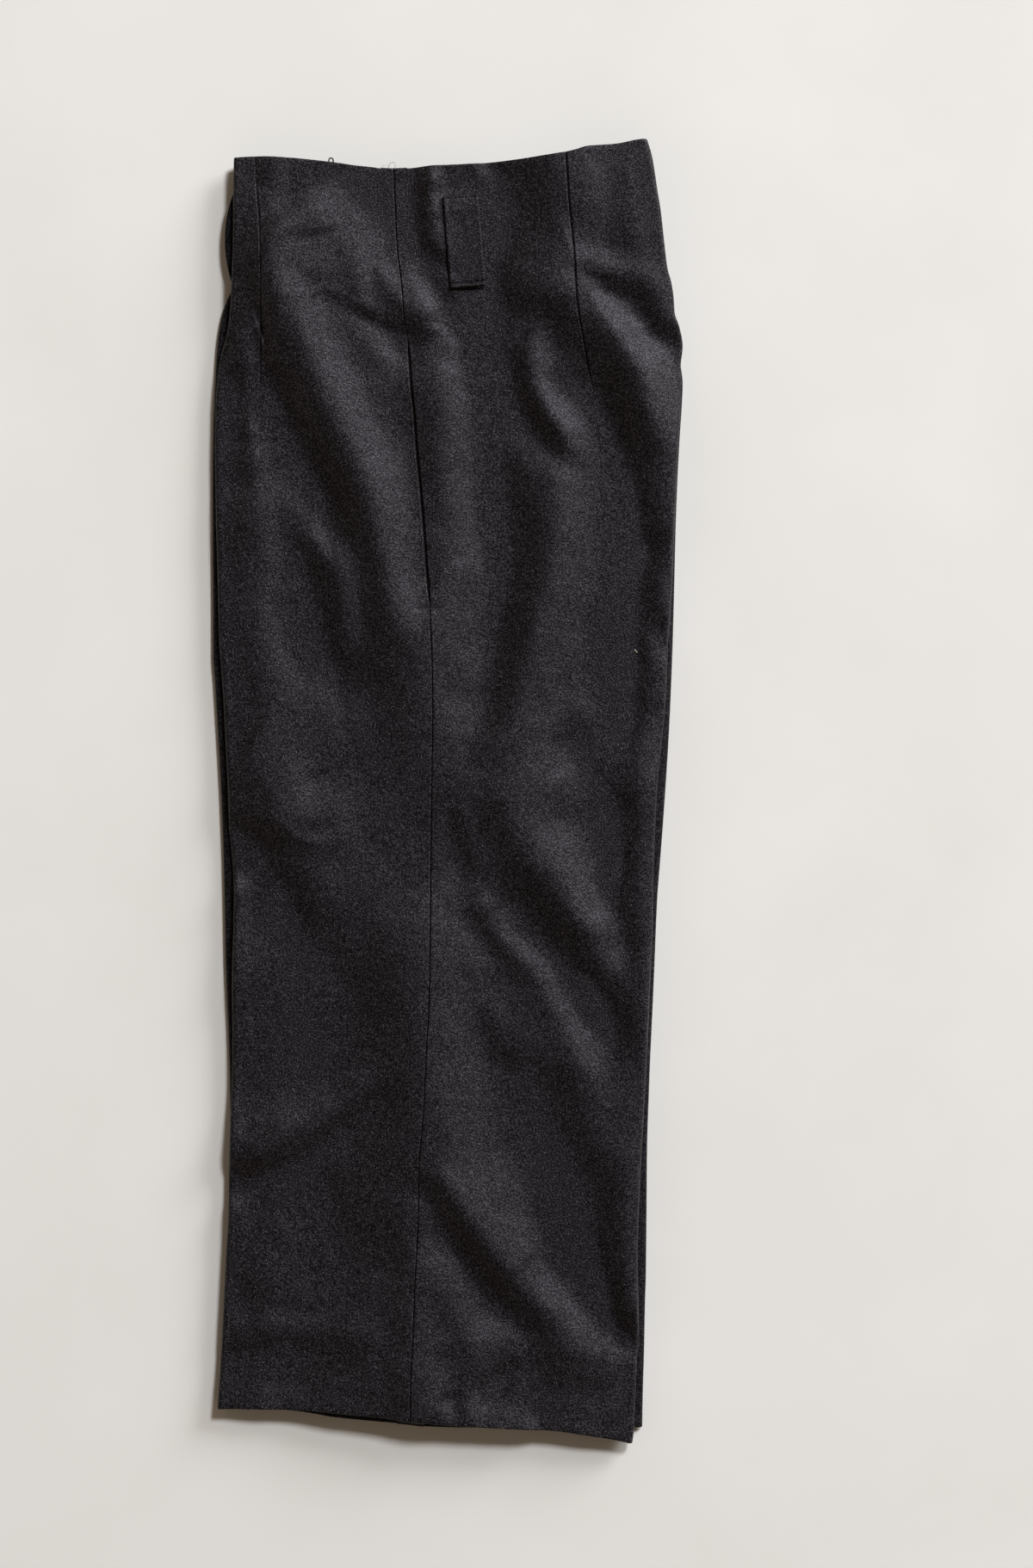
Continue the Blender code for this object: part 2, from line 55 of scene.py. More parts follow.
# One node with its settings, its sockets' values, its links, and a ramp's steps
def addNode(tree, kind, settings=None, inputs=None, links=None, steps=()):
    node = tree.nodes.new("ShaderNode" + kind)
    for name, value in (settings or {}).items():
        setattr(node, name, value)
    for name, value in (inputs or {}).items():
        node.inputs[name].default_value = value
    for name, source in (links or {}).items():
        tree.links.new(source, node.inputs[name])
    while steps and len(node.color_ramp.elements) < len(steps):
        node.color_ramp.elements.new(0.5)
    for k, (place, colour) in enumerate(steps):
        node.color_ramp.elements[k].position = place
        node.color_ramp.elements[k].color = linearColour(colour)
    return node


def newMaterial(name, values):
    material = bpy.data.materials.new(name)
    material.use_nodes = True
    tree = material.node_tree
    shader = tree.nodes["Principled BSDF"]
    for socket, value in values.items():
        shader.inputs[socket].default_value = value
    place = addNode(tree, "TexCoord").outputs["Object"]
    return material, tree, shader, place


# A material with a tone that changes a little from place to place, so many times to the millimetre
def makeTwoTone(name, look):
    material, tree, shader, place = newMaterial(
        name, {"Roughness": look["rough"], "Coat Weight": look.get("coat", 0.0)})
    changing = addNode(tree, "TexNoise", inputs={
        "Scale": look["changes"] / mm, "Detail": look["detail"]}, links={"Vector": place})
    tone = addNode(tree, "ValToRGB", links={"Fac": changing.outputs["Fac"]},
                   steps=list(zip(look["steps"], (look["darker"], look["lighter"]))))
    tree.links.new(tone.outputs["Color"], shader.inputs["Base Color"])
    return material


def addObject(name, data):
    added = bpy.data.objects.new(name, data)
    bpy.context.scene.collection.objects.link(added)
    return added


flannelLook = {
    "dark": "#030203", "ground": "#0a080b", "light": "#2a252c",  # the melange's greys
    "dullFibre": "#807b82", "plainFibre": "#bdb8c0", "silkyFibre": "#ffffff",  # the fibres' lustre
    "steps": (0.38, 0.5, 0.62),  # where one grey or lustre gives way to the next
    "grain": 1.2,  # mm, the mottling of the milled fibres, drawn as coarse as it needs to show
    "cloud": 4.5,  # mm, the slow change from lighter to darker wool
    "cloudShare": 0.12,  # of the mottling
    "speck": "#868190", "speckPaleness": 0.45,  # single pale fibres on top, and how far they show
    "speckSize": 1.4,  # mm, the cell that such a fibre may lie in
    "speckShare": 0.3,  # of the cells have one
    "speckFade": 3.0, "speckHeight": 0.4, "speckTurn": 24.0, "speckStretch": 0.55,
    "rough": 0.56, "gloss": 0.54,
    "relief": 0.5,  # mm
}


# Wool flannel, woven from dyed-in-the-wool melange yarn and milled: matt, with a short nap that hides
# the weave, and single pale fibres on top. shade under 1 darkens its colour and lustre; on the lower leg and
# the front loops this is painted shade.
def makeFlannel(name, look, shade=1.0):
    # the lustre is lowered by shade as well: painted shade where shade is under 1
    material, tree, shader, place = newMaterial(
        name, {"Roughness": look["rough"], "Specular IOR Level": look["gloss"] * shade})
    grain = addNode(tree, "TexNoise", inputs={
        "Scale": 1 / (look["grain"] * mm), "Detail": 2.0, "Roughness": 0.6}, links={"Vector": place})
    cloud = addNode(tree, "TexNoise", inputs={
        "Scale": 1 / (look["cloud"] * mm), "Detail": 2.0, "Roughness": 0.5}, links={"Vector": place})
    slanted = addNode(tree, "Mapping", inputs={
        "Rotation": (0, 0, math.radians(look["speckTurn"])), "Scale": (1.0, look["speckStretch"], 1.0)},
        links={"Vector": place})
    fibre = addNode(tree, "TexVoronoi", inputs={
        "Scale": 1 / (look["speckSize"] * mm), "Randomness": 1.0}, links={"Vector": slanted.outputs[0]})
    picked = addNode(tree, "SeparateColor", links={"Color": fibre.outputs["Color"]})
    rare = addNode(tree, "Math", {"operation": "LESS_THAN"}, {1: look["speckShare"]},
                   {0: picked.outputs["Red"]})
    near = addNode(tree, "Math", {"operation": "MULTIPLY_ADD", "use_clamp": True},
                   {1: -look["speckFade"], 2: 1.0}, {0: fibre.outputs["Distance"]})
    speck = addNode(tree, "Math", {"operation": "MULTIPLY"},
                    links={0: rare.outputs[0], 1: near.outputs[0]})
    slow = addNode(tree, "Math", {"operation": "MULTIPLY"}, {1: look["cloudShare"]},
                   {0: cloud.outputs["Fac"]})
    mottle = addNode(tree, "Math", {"operation": "MULTIPLY_ADD"}, {1: 1 - look["cloudShare"]},
                     {0: grain.outputs["Fac"], 2: slow.outputs[0]})
    greys = [look["dark"], look["ground"], look["light"]]
    wool = addNode(tree, "ValToRGB", links={"Fac": mottle.outputs[0]},
                   steps=list(zip(look["steps"], greys)))
    paleShare = addNode(tree, "Math", {"operation": "MULTIPLY"}, {1: look["speckPaleness"]},
                        {0: speck.outputs[0]})
    speckled = addNode(tree, "Mix", {"data_type": "RGBA"}, {7: linearColour(look["speck"])},
                       {0: paleShare.outputs[0], 6: wool.outputs["Color"]})
    # the colour multiplied by shade: painted shade where shade is under 1
    shaded = addNode(tree, "Mix", {"data_type": "RGBA", "blend_type": "MULTIPLY"},
                     {0: 1.0, 7: (shade, shade, shade, 1.0)}, {6: speckled.outputs[2]})
    tree.links.new(shaded.outputs[2], shader.inputs["Base Color"])
    sheens = [look["dullFibre"], look["plainFibre"], look["silkyFibre"]]
    lustre = addNode(tree, "ValToRGB", links={"Fac": mottle.outputs[0]},
                     steps=list(zip(look["steps"], sheens)))
    tree.links.new(lustre.outputs["Color"], shader.inputs["Specular Tint"])
    height = addNode(tree, "Math", {"operation": "MULTIPLY_ADD"}, {1: look["speckHeight"]},
                     {0: speck.outputs[0], 2: mottle.outputs[0]})
    bump = addNode(tree, "Bump", inputs={"Strength": 1.0, "Distance": look["relief"] * mm},
                   links={"Height": height.outputs[0]})
    tree.links.new(bump.outputs["Normal"], shader.inputs["Normal"])
    return material


# The trousers' lines as (x, down) in mm: x from the front to the back, down from the waist
outline = {
    "frontUpper": [(-164.3, 10), (-164.7, 17.9), (-165, 39), (-165.3, 72), (-165.7, 90.5), (-166.3, 107),
        (-167, 122.2), (-168.3, 137.3), (-170.9, 151.2), (-174.6, 164.4), (-177.5, 182.9), (-178.9, 206),
        (-179.3, 239), (-178.6, 287.2), (-177.3, 335.3), (-176.6, 367), (-176, 387.5), (-174.4, 407.3),
        (-172.6, 433.7), (-170.9, 469.3), (-169.1, 504.3), (-168.6, 526.1), (-167.3, 539.9),
        (-165.7, 557.8), (-164.7, 575.6), (-165.2, 602), (-165.9, 628.4), (-166.3, 651.5), (-165.9, 691.7),
        (-166.1, 715.5), (-167.3, 743.9), (-168.3, 776.9), (-168.7, 798), (-169, 821.8), (-170.9, 856.7),
        (-173.2, 904.3), (-175.1, 939.2), (-177.5, 972.9), (-177.7, 976.2)],
    "frontLower": [(-163, 10), (-163.7, 39), (-164, 72), (-164.3, 107), (-170.9, 122.2), (-175.2, 137.3),
        (-177.9, 156.5), (-179.8, 188.2), (-181.2, 223.1), (-181.7, 255.5), (-181.7, 303), (-181.3, 351.2),
        (-181.2, 394.1), (-179.7, 416.5), (-178.2, 442.9), (-176.2, 477.9), (-174.9, 504.3),
        (-173.8, 531.4), (-173, 557.8), (-172.3, 592.7), (-171.7, 628.4), (-170.9, 651.5), (-169.6, 680.5),
        (-168.5, 715.5), (-167.9, 750.5), (-167.2, 776.9), (-167, 798), (-167.3, 821.8), (-169, 856.7),
        (-171.3, 904.3), (-173.2, 939.2), (-174.9, 972.9)],
    "backUpper": [(151.8, -1.9), (154.4, 6), (156.4, 13.9), (160.4, 39.7), (162.6, 52.9), (165.7, 80.6),
        (168, 98.4), (170.9, 109), (172.7, 120.8), (173.4, 132.1), (177.2, 143.3), (179.7, 157.8),
        (178.2, 172.3), (177.8, 206.6), (176, 235.7), (174.8, 257.5), (172.9, 308.3), (170.5, 358.4),
        (168, 392.1), (167.2, 420.5), (162.9, 469.3), (160.2, 495.7), (158.4, 530.7), (157.1, 566.3),
        (156.7, 602), (155, 637), (153.1, 683.2), (150.2, 740.6), (146.9, 799.3), (145, 858.7),
        (145.7, 893.7), (146.2, 922.1), (145, 931.3), (143.4, 964.3), (142.6, 985.4), (141, 1000.6)],
    "backLower": [(149.8, 0.1), (152.5, 6), (154.4, 13.9), (158.4, 39.7), (160.6, 52.9), (163.7, 80.6),
        (166.3, 98.4), (169, 109), (170.7, 120.8), (171.6, 132.1), (174.9, 143.3), (177.2, 157.8),
        (178.3, 171.7), (179.9, 184.9), (179.2, 202.7), (177.5, 229.1), (175.6, 266), (174.4, 299.7),
        (173.4, 341.9), (172.3, 383.5), (170.9, 420.5), (169, 460.1), (165.5, 513.5), (162.9, 548.5),
        (160.2, 584.2), (158.4, 628.4), (156.8, 664.7), (154.9, 704.9), (154, 728.7), (152.5, 776.2),
        (152.1, 823.1), (151.6, 869.9), (150.9, 893.7), (150.2, 929.3), (149.2, 964.3), (148.8, 986.1)],
    "seam": [(-42.2, 17.9), (-40.6, 59.5), (-39.3, 83.9), (-35.6, 114.2), (-33.9, 138.7), (-31.5, 151.2),
        (-30, 169.7), (-28.2, 192.8), (-26.5, 207.3), (-24.2, 239), (-21.1, 271.3), (-18.5, 303),
        (-16.2, 335.3), (-14.2, 357.8), (-13.7, 371.6), (-12.9, 387.5), (-12.1, 433.7), (-12.7, 486.5),
        (-13.5, 539.9), (-13.9, 592.7), (-14.5, 651.5), (-16.5, 691.7), (-18.8, 739.3), (-22.4, 786.1),
        (-23.5, 833.6), (-25.9, 880.5), (-27.1, 916.1), (-29, 951.1), (-29.4, 988.1)],
    "frontDart": [(-148.5, 13.3), (-147.4, 34.4), (-144.9, 59.5), (-143.7, 96.4), (-143.6, 134),
        (-144.1, 171), (-145.5, 203.3), (-145.2, 235.7), (-141.9, 354.5), (-134, 552.5), (-132.7, 988.1)],
    "backDart": [(89.8, 7.3), (92.3, 46.9), (96, 83.9), (98.5, 124.1), (103.5, 153.8), (108.4, 180.9),
        (112.9, 203.3), (116.2, 235.7), (118.1, 354.5), (104.9, 552.5), (91.7, 988.1)],
}

# The waist's and the hem's edges, each as (x, down)
edges = {
    "waistUpper": [(-170.9, 13.9), (-163.7, 13.5), (-157.1, 12.9), (-142.6, 12.6), (-119.5, 13.9),
        (-106.3, 15.2), (-93.1, 16.6), (-81.2, 17.9), (-70.6, 19.2), (-58.1, 20.5), (-50.8, 21.6),
        (-42.2, 22), (-35.6, 21.8), (-27.1, 21.2), (-18.5, 20.1), (23.8, 17.7), (56.1, 14.6), (68.6, 12.9),
        (89.8, 9.7), (98.3, 7.7), (105.9, 5.3), (128, 3.4), (147.8, -0.2), (154.4, -0.6)],
    "waistLower": [(-170.9, 15.9), (-106.3, 17.2), (-42.2, 23.8), (23.8, 19.9), (89.8, 11.9), (154.4, 2)],
    "hemUpper": [(-177.5, 973.6), (-161.7, 973.2), (-121.4, 973.6), (-97.7, 974.9), (-81.8, 976.5),
        (-64, 977.9), (-45.5, 979.8), (-27.1, 982.1), (-3.3, 984.5), (43.6, 987.4), (79.2, 989.4),
        (102.3, 992.7), (126.1, 996.7), (141, 1000.3)],
    "hemLower": [(-174.9, 972.9), (-145.9, 973.2), (-121.4, 974.9), (-101.6, 977.8), (-88.4, 980.2),
        (-70, 982.1), (-51.5, 983.8), (-33.7, 985.4), (-15.2, 987.4), (12.5, 988.1), (65.3, 988.1),
        (148.8, 988.1)],
}

# How high each leg's two layers stand away from their creases, as (down, height)
lofts = {
    "lower": [(0, 7.9), (110, 7.9), (224, 7.6), (360, 7.3), (552, 7.0), (750, 7.0), (925, 7.4), (1010, 7.4)],
    "upper": [(0, 8.6), (110, 8.6), (224, 8.2), (360, 8.0), (552, 7.8), (750, 7.8), (925, 7.9), (1010, 7.9)],
    "upperBackCrease": [(0, 13.2), (60, 12.6), (110, 9.6), (180, 6.4), (260, 5.6), (1010, 5.6)],
}

# How far each panel is turned in past its crease, as (down, width)
turnedIn = {
    "front": [(0, 45), (110, 52), (190, 66), (250, 82), (300, 104), (330, 132), (350, 163)],
    "back": [(0, 14), (110, 24), (190, 42), (250, 62), (300, 96), (330, 140), (350, 187)],
}

# In millimetres, but for the powers and shares
body = {
    "creaseHeight": 5.6, "creaseRise": 38.0,  # a leg's height at its creases, and how far in it is full
    "creaseRound": 2.8, "creasePower": 0.8,  # how far the crease bulges; a power under 1 is squarer
    "creaseShrink": 0.92,  # how fast the bulge lessens for cloth that lies inside
    "layerGap": 0.45,  # between the legs
    "leastHeight": 4.4,  # of the upper leg in its deepest folds
    "topRise": 0.8, "tuckTaken": 0.6,  # the upper leg, and the share of the tuck that it takes up
    "tuckGap": 5.0, "tuckFull": 24.0, "tuckShut": 45.0,  # between the legs at the front, where the loops are
    "tuckEnd": 112.0, "tuckFade": 60.0,
    "crotchDown": 350.0,
    "cloth": 0.9,  # one layer
    # the turned edges: their radius, how far the cloth goes on under them, and how much lower it lies
    "seamTurn": 0.9, "seamGap": 0.35, "seamAllowance": 9.0, "seamArcSink": 0.17, "seamSink": 0.35,
    "edgeTurn": 1.05, "waistAllowance": 12.0, "hemDepth": 63.0,
    "edgePower": 0.5, "edgeEase": 200,  # squarer under 1, and eased off over a 200th of the length
}


def soft(t):
    t = np.clip(t, 0.0, 1.0)
    return t * t * (3 - 2 * t)


# The smooth curve through a list of (place, value), with no overshoot between its points
def curveThrough(points, places):
    xs, ys = (np.array(column, float) for column in zip(*points))
    rise = np.diff(ys) / np.diff(xs)
    slope = np.concatenate([[rise[0]], np.zeros(len(xs) - 2), [rise[-1]]])
    turn = rise[:-1] * rise[1:] > 0
    slope[1:-1][turn] = 2 * rise[:-1][turn] * rise[1:][turn] / (rise[:-1][turn] + rise[1:][turn])
    places = np.clip(places, xs[0], xs[-1])
    k = np.clip(np.searchsorted(xs, places) - 1, 0, len(xs) - 2)
    step = xs[k + 1] - xs[k]
    t = (places - xs[k]) / step
    return (ys[k] * (1 + 2 * t) * (1 - t) ** 2 + slope[k] * step * t * (1 - t) ** 2
            + ys[k + 1] * t * t * (3 - 2 * t) + slope[k + 1] * step * t * t * (t - 1))


def lineX(name, down):
    return curveThrough([(d, x) for x, d in outline[name]], down)


def edgeDown(name, x):
    return curveThrough(edges[name], x)


# A smooth line through points, each stretch in so many pieces
def smoothLine(points, pieces=8):
    points = [np.array(p, float) for p in points]
    padded = [2 * points[0] - points[1]] + points + [2 * points[-1] - points[-2]]
    line = []
    for a, b, c, d in zip(padded, padded[1:], padded[2:], padded[3:]):
        for k in range(pieces):
            t = k / pieces
            line.append(0.5 * (2 * b + (c - a) * t + (2 * a - 5 * b + 4 * c - d) * t * t
                               + (3 * b - a - 3 * c + d) * t ** 3))
    return np.array(line + [points[-1]])


# Each point's signed distance from a line, and its share of the way along
def awayFrom(line, x, down):
    nearest = np.full(x.shape, 1e9)
    signed, share = np.zeros(x.shape), np.zeros(x.shape)
    for k in range(len(line) - 1):
        (ax, ay), (bx, by) = line[k], line[k + 1]
        dx, dy = bx - ax, by - ay
        t = np.clip(((x - ax) * dx + (down - ay) * dy) / (dx * dx + dy * dy), 0, 1)
        away = np.hypot(x - ax - t * dx, down - ay - t * dy)
        closer = away < nearest
        side = np.where(dx * (down - ay) - dy * (x - ax) > 0, -1.0, 1.0)
        nearest = np.where(closer, away, nearest)
        signed = np.where(closer, side * away, signed)
        share = np.where(closer, (k + t) / (len(line) - 1), share)
    return signed, share


# Folds of the upper leg's face, each a slope along a line of (x, down): over 0 where the cloth falls
# towards the window, upper right, and under 0 where it rises to it. Each row: the line, the slope, the
# half widths at its two ends in mm, and the share of its length over which it fades in and out.
upperFolds = {
    "thigh hollow side": ([(-148, 94), (-147, 124), (-138, 151), (-119, 196), (-104, 222), (-94, 254),
        (-74, 295), (-62, 347), (-56, 385), (-46, 444)], -0.33, 28.8, 20.2, 0.13),
    "thigh light side": ([(-156, 78), (-119, 114), (-88, 180), (-77, 211), (-49, 256), (-43, 298),
        (-35, 349), (-8, 368)], 0.18, 14.5, 23.7, 0.15),
    "pocket crease dark": ([(-90.1, 119.3), (-51.2, 139.1), (-35.3, 145.7), (-11, 159.5)],
        -0.33, 2.4, 16.1, 0.23),
    "pocket crease light": ([(-109.9, 32.5), (-70.1, 77.7), (-53.3, 104), (-26.7, 127.4)],
        0.2, 42, 2.4, 0.1),
    "hip dark": ([(-58.6, 93), (-46.7, 117.9), (-11.2, 148)], -0.25, 2.4, 17.1, 0.2),
    "hip light": ([(-109.1, 50.7), (-120.9, 78.1), (-97.1, 94.9), (-73.1, 131.3)], 0.21, 32.9, 2.2, 0.32),
    "front edge hollow": ([(-180, 110), (-176, 121), (-177, 149), (-175, 196)], -0.5, 6.1, 19.7, 0.19),
    "front edge second": ([(-170, 191), (-159, 202), (-158, 228), (-152, 266)], -0.32, 13.8, 9.6, 0.28),
    "dart end light": ([(-138, 163), (-145, 174), (-158, 259)], 0.22, 21.9, 7.5, 0.3),
    "first dimple": ([(-167.2, 218.7), (-153.7, 228.8), (-140.3, 225.4)], -0.21, 11.2, 2.9, 0.27),
    "second dimple": ([(-187, 244), (-158, 252), (-147, 255)], -0.17, 14.5, 7.8, 0.26),
    "lower thigh dark": ([(-127, 277), (-107, 320), (-104, 341), (-92, 386), (-85, 399), (-56, 441)],
        -0.34, 19.9, 18.5, 0.24),
    "lower thigh light": ([(-113, 232), (-98, 299), (-75, 332), (-71, 406)], 0.25, 16.2, 8, 0.22),
    "front thigh light": ([(-125, 260), (-134, 299), (-108, 350), (-97, 402), (-77, 472)],
        0.14, 17.4, 4.3, 0.28),
    "seam side light": ([(-43, 74), (-17, 119), (5, 154), (4, 177), (9, 232), (11, 285), (14, 336),
        (8, 395), (5, 442), (46, 506)], 0.27, 4.4, 28.6, 0.16),
    "loop side dark": ([(-2, -13), (-21, 40), (-12, 102)], -0.3, 5.8, 9.9, 0.15),
    "waist light": ([(-16, 19), (-8, 30), (-14, 46)], 0.29, 5, 7.9, 0.28),
    "waist light by the loop": ([(28, 2), (23, 15), (37, 36)], 0.3, 4.9, 6.2, 0.26),
    "back waist dark": ([(38, -18), (67, 52), (52, 116), (60, 177)], -0.21, 31.4, 38.2, 0.2),
    "upper seat dark": ([(135, 4), (129, 61), (140, 134)], -0.14, 4.8, 15.8, 0.36),
    "loop fold dark": ([(56, 146), (61, 181), (69, 206), (83, 229), (106, 259)], -0.35, 26.4, 7.2, 0.25),
    "loop fold light": ([(59, 134), (75, 149), (71, 184), (93, 225), (106, 264)], 0.38, 9.8, 7.7, 0.5),
    "seat dark": ([(103, 116), (104, 155), (128, 195), (146, 240), (156, 296), (161, 312), (167, 365)],
        -0.34, 23.2, 18, 0.19),
    "seat light": ([(103.1, 99.4), (117.3, 122.2), (135.2, 142.8), (149.7, 161.4), (165.9, 178.6),
        (180.2, 249.8)], 0.34, 3.9, 18, 0.1),
    "above the seat dark": ([(103, 85), (114, 102), (145, 115), (160, 146), (163, 160)],
        -0.3, 9.5, 11.2, 0.3),
    "above the seat light": ([(97, 99), (117, 95), (151, 112)], 0.2, 21.5, 8.1, 0.37),
    "back thigh dark": ([(64, 186), (57, 266), (66, 331), (53, 380), (42, 434), (3, 494)],
        -0.16, 24.2, 8.9, 0.13),
    "back thigh light": ([(95, 210), (96, 300), (91, 339), (86, 392), (81, 440), (93, 509)],
        0.22, 8.2, 42, 0.18),
    "back edge dark": ([(156, 227), (145, 320), (149, 388), (142, 452), (140, 511), (137, 586),
        (143, 641), (131, 699)], -0.33, 13.3, 11.9, 0.21),
    "above the knee dark": ([(72, 445), (112, 467), (135, 532)], -0.25, 19.5, 12.9, 0.31),
    "front knee dark": ([(-201, 514), (-167, 524), (-133, 534), (-115, 545)], -0.28, 5.2, 14.9, 0.41),
    "front knee soft dark": ([(-179, 505), (-151, 522), (-120, 568), (-101, 614)], -0.15, 33.5, 11.3, 0.13),
    "front knee light": ([(-162, 547), (-165, 562), (-146, 553)], 0.34, 20.4, 5.5, 0.5),
    "below the front knee light": ([(-157, 539), (-159, 601), (-131, 666)], 0.15, 22, 35.5, 0.34),
    "front knee ripple": ([(-147.4, 510.4), (-104.4, 534), (-67.8, 523.6)], 0.16, 2.5, 7, 0.4),
    "second front knee ripple": ([(-103, 477), (-106, 496), (-73, 491)], 0.15, 4.2, 30.3, 0.34),
    "shin dark": ([(-193, 784), (-157, 792), (-132, 784), (-108, 769), (-71, 743), (-40, 706)],
        -0.31, 17.3, 10.6, 0.15),
    "shin light": ([(-173, 735), (-156, 738), (-132, 735), (-72, 716)], 0.1, 14.2, 42, 0.26),
    "below the shin light": ([(-181, 803), (-168, 801), (-137, 789)], 0.41, 20.4, 8.3, 0.5),
    "beside the seam dark": ([(-83, 587), (-51, 675), (-68, 778), (-31, 924)], -0.12, 42, 42, 0.16),
    "calf light": ([(9, 559), (1, 654), (8, 722), (21, 775), (47, 818), (62, 854), (82, 894),
        (103, 929), (120, 944)], 0.17, 29.8, 19, 0.13),
    "calf dark": ([(-22, 781), (-8, 807), (9, 836), (31, 867), (59, 900), (80, 914), (91, 947)],
        -0.3, 8, 17.5, 0.16),
    "below the calf light": ([(-30, 834), (-12, 858), (20, 908), (73, 929)], 0.14, 5.8, 38, 0.17),
    "back calf dark": ([(66, 690), (86, 718), (95, 745), (112, 798), (122, 851), (132, 897),
        (140, 926)], -0.21, 20, 23.3, 0.21),
    "below the knee dark": ([(20, 654), (35, 694), (61, 711)], -0.13, 11.4, 13.7, 0.24),
    "knee dark": ([(11, 509), (38, 526), (53, 552), (72, 584), (88, 607), (106, 630), (133, 674),
        (129, 713)], -0.2, 28.9, 8.2, 0.12),
    "knee thin dark": ([(4, 498.9), (8.3, 534.3), (19.5, 577.8)], -0.17, 2.6, 12.3, 0.26),
    "under the knee dark": ([(26, 558), (16, 583), (30, 609), (48, 630), (69, 659)],
        -0.23, 11.4, 7.2, 0.43),
    "under the knee light": ([(16, 576), (40, 609), (71, 629), (84, 656), (108, 705), (117, 752)],
        0.21, 12.2, 9, 0.5),
    "knee light": ([(74, 484), (70, 526), (91, 553), (110, 591), (139, 603)], 0.19, 42, 5, 0.25),
    "front lower dark": ([(-103, 878), (-87, 937), (-122, 998)], -0.13, 41, 42, 0.29),
    "pressed hem light": ([(-178, 900), (-128, 908), (-69, 905), (-42, 914)], 0.1, 12.2, 14.3, 0.17),
    "pressed hem dark": ([(-154, 919), (-120, 921), (-103, 920), (-87, 909)], -0.16, 11.3, 4.9, 0.19),
    "back hem dark": ([(-15, 927), (52, 930), (134, 953)], -0.1, 7, 17.8, 0.1),
    "hem ripple dark": ([(2.2, 954.6), (8.4, 966.4), (15.6, 992.9)], -0.25, 12.4, 3, 0.46),
    "hem ripple light": ([(36, 915), (28, 973), (63, 962)], 0.24, 10.6, 32.1, 0.25),
    "seam foot light": ([(-21, 872), (-11, 948), (9, 988)], 0.23, 6.4, 29.1, 0.28),
    "calf notch": ([(123, 906), (139, 911), (160, 934)], -0.35, 20.5, 5.3, 0.36),
    "calf edge dark": ([(120, 621), (135, 690), (131, 765), (124, 840), (123, 890)], -0.21, 23.2, 7.8, 0.1),
    "under the loop dark": ([(38, 87), (53, 120), (75, 126), (97, 138)], -0.13, 9.1, 18, 0.13),
    "seam crease dark": ([(1, 92), (-9, 105), (1, 143), (0, 147)], -0.2, 13.2, 8.3, 0.26),
    "front thigh second light": ([(-106.8, 259), (-98.2, 285), (-99.4, 300.6), (-87.9, 335.7)],
        0.1, 3.6, 3.8, 0.1),
    "thigh edge dark": ([(169, 303), (158, 337), (165, 370), (204, 428)], -0.24, 8.4, 8.7, 0.17),
    "front dart hollow": ([(-142, 108), (-139.5, 156), (-142, 200)], -0.24, 6.5, 8.5, 0.3),
    "shin hollow": ([(-194.6, 787.2), (-157.3, 794), (-134, 775.4), (-102.6, 739.4)], -0.27, 11, 3.7, 0.16),
}

foldStrength = 1.32  # on all slopes of the folds
foldReach = 3.2  # half widths past which a fold is nothing


def addFolds(folds, x, down):
    total = np.zeros(x.shape)
    for points, slope, firstHalf, lastHalf, fade in folds.values():
        line = smoothLine(points)
        reach = foldReach * max(firstHalf, lastHalf)
        low, high = line.min(axis=0) - reach, line.max(axis=0) + reach
        close = (x > low[0]) & (x < high[0]) & (down > low[1]) & (down < high[1])
        if not close.any():
            continue
        signed, share = awayFrom(line, x[close], down[close])
        toWindow = 1.0 if (line[-1] - line[0]).sum() > 0 else -1.0  # it is 45 degrees round
        half = firstHalf + (lastHalf - firstHalf) * share
        along = soft(share / fade) * soft((1 - share) / fade)
        across = signed * np.exp(-0.5 * (signed / half) ** 2)
        total[close] -= slope * foldStrength * toWindow * across * along
    return total


# Darts: the seam draws the cloth down in a narrow groove, which runs out over fade before its end
sewnLines = {
    "front dart": {"line": "frontDart", "ends": (10, 205), "fade": 15, "depth": 1.7, "width": 1.0},
    "back dart": {"line": "backDart", "ends": (0, 207), "fade": 6, "depth": 2.0, "width": 1.0},
}
sewnPull = {"start": 6, "depth": 0.3, "reach": 9.0}  # the slight draw on both sides

# The bar tacks at the pocket mouth's ends: from and to in x, the stitches' length, how far they sink
tacks = {
    "bottom": {"from": -23.6, "to": -8.0, "down": 359.1, "length": 2.4, "sink": 1.5},
    "top": {"from": -33.6, "to": -28.0, "down": 151.4, "length": 2.0, "sink": 1.0},
}
tackPull = {"past": 1.5, "fade": 2}  # how far past its ends it draws the cloth


def addSewnLines(x, down):
    total = np.zeros(x.shape)
    past, fade = tackPull["past"], tackPull["fade"]
    for tack in tacks.values():
        across = soft((x - tack["from"] + past) / fade) * soft((tack["to"] + past - x) / fade)
        total -= tack["sink"] * across * np.exp(-((down - tack["down"]) / (tack["length"] * 0.5)) ** 2)
    for sewn in sewnLines.values():
        away = x - lineX(sewn["line"], down)
        start, end = sewn["ends"]
        along = soft((down - start) / sewnPull["start"] + 1) * soft((end - down) / sewn["fade"])
        groove = sewn["depth"] * np.exp(-(away / (sewn["width"] * 0.5)) ** 2)
        total -= along * (groove + sewnPull["depth"] * np.exp(-(away / sewnPull["reach"]) ** 2))
    return total


# Slow, slight waves of the cloth: (length, angle, height), in mm and degrees. Each starts elsewhere
# and bends a little, so that they don't repeat.
slowWaves = [(83, 17, 0.17), (61, 74, 0.15), (47, 128, 0.13), (37, 41, 0.10), (29, 163, 0.08),
             (21, 101, 0.06), (14, 58, 0.035), (11, 142, 0.03), (8.3, 9, 0.02)]
unevenFade = 20  # mm in from the creases, over which they start


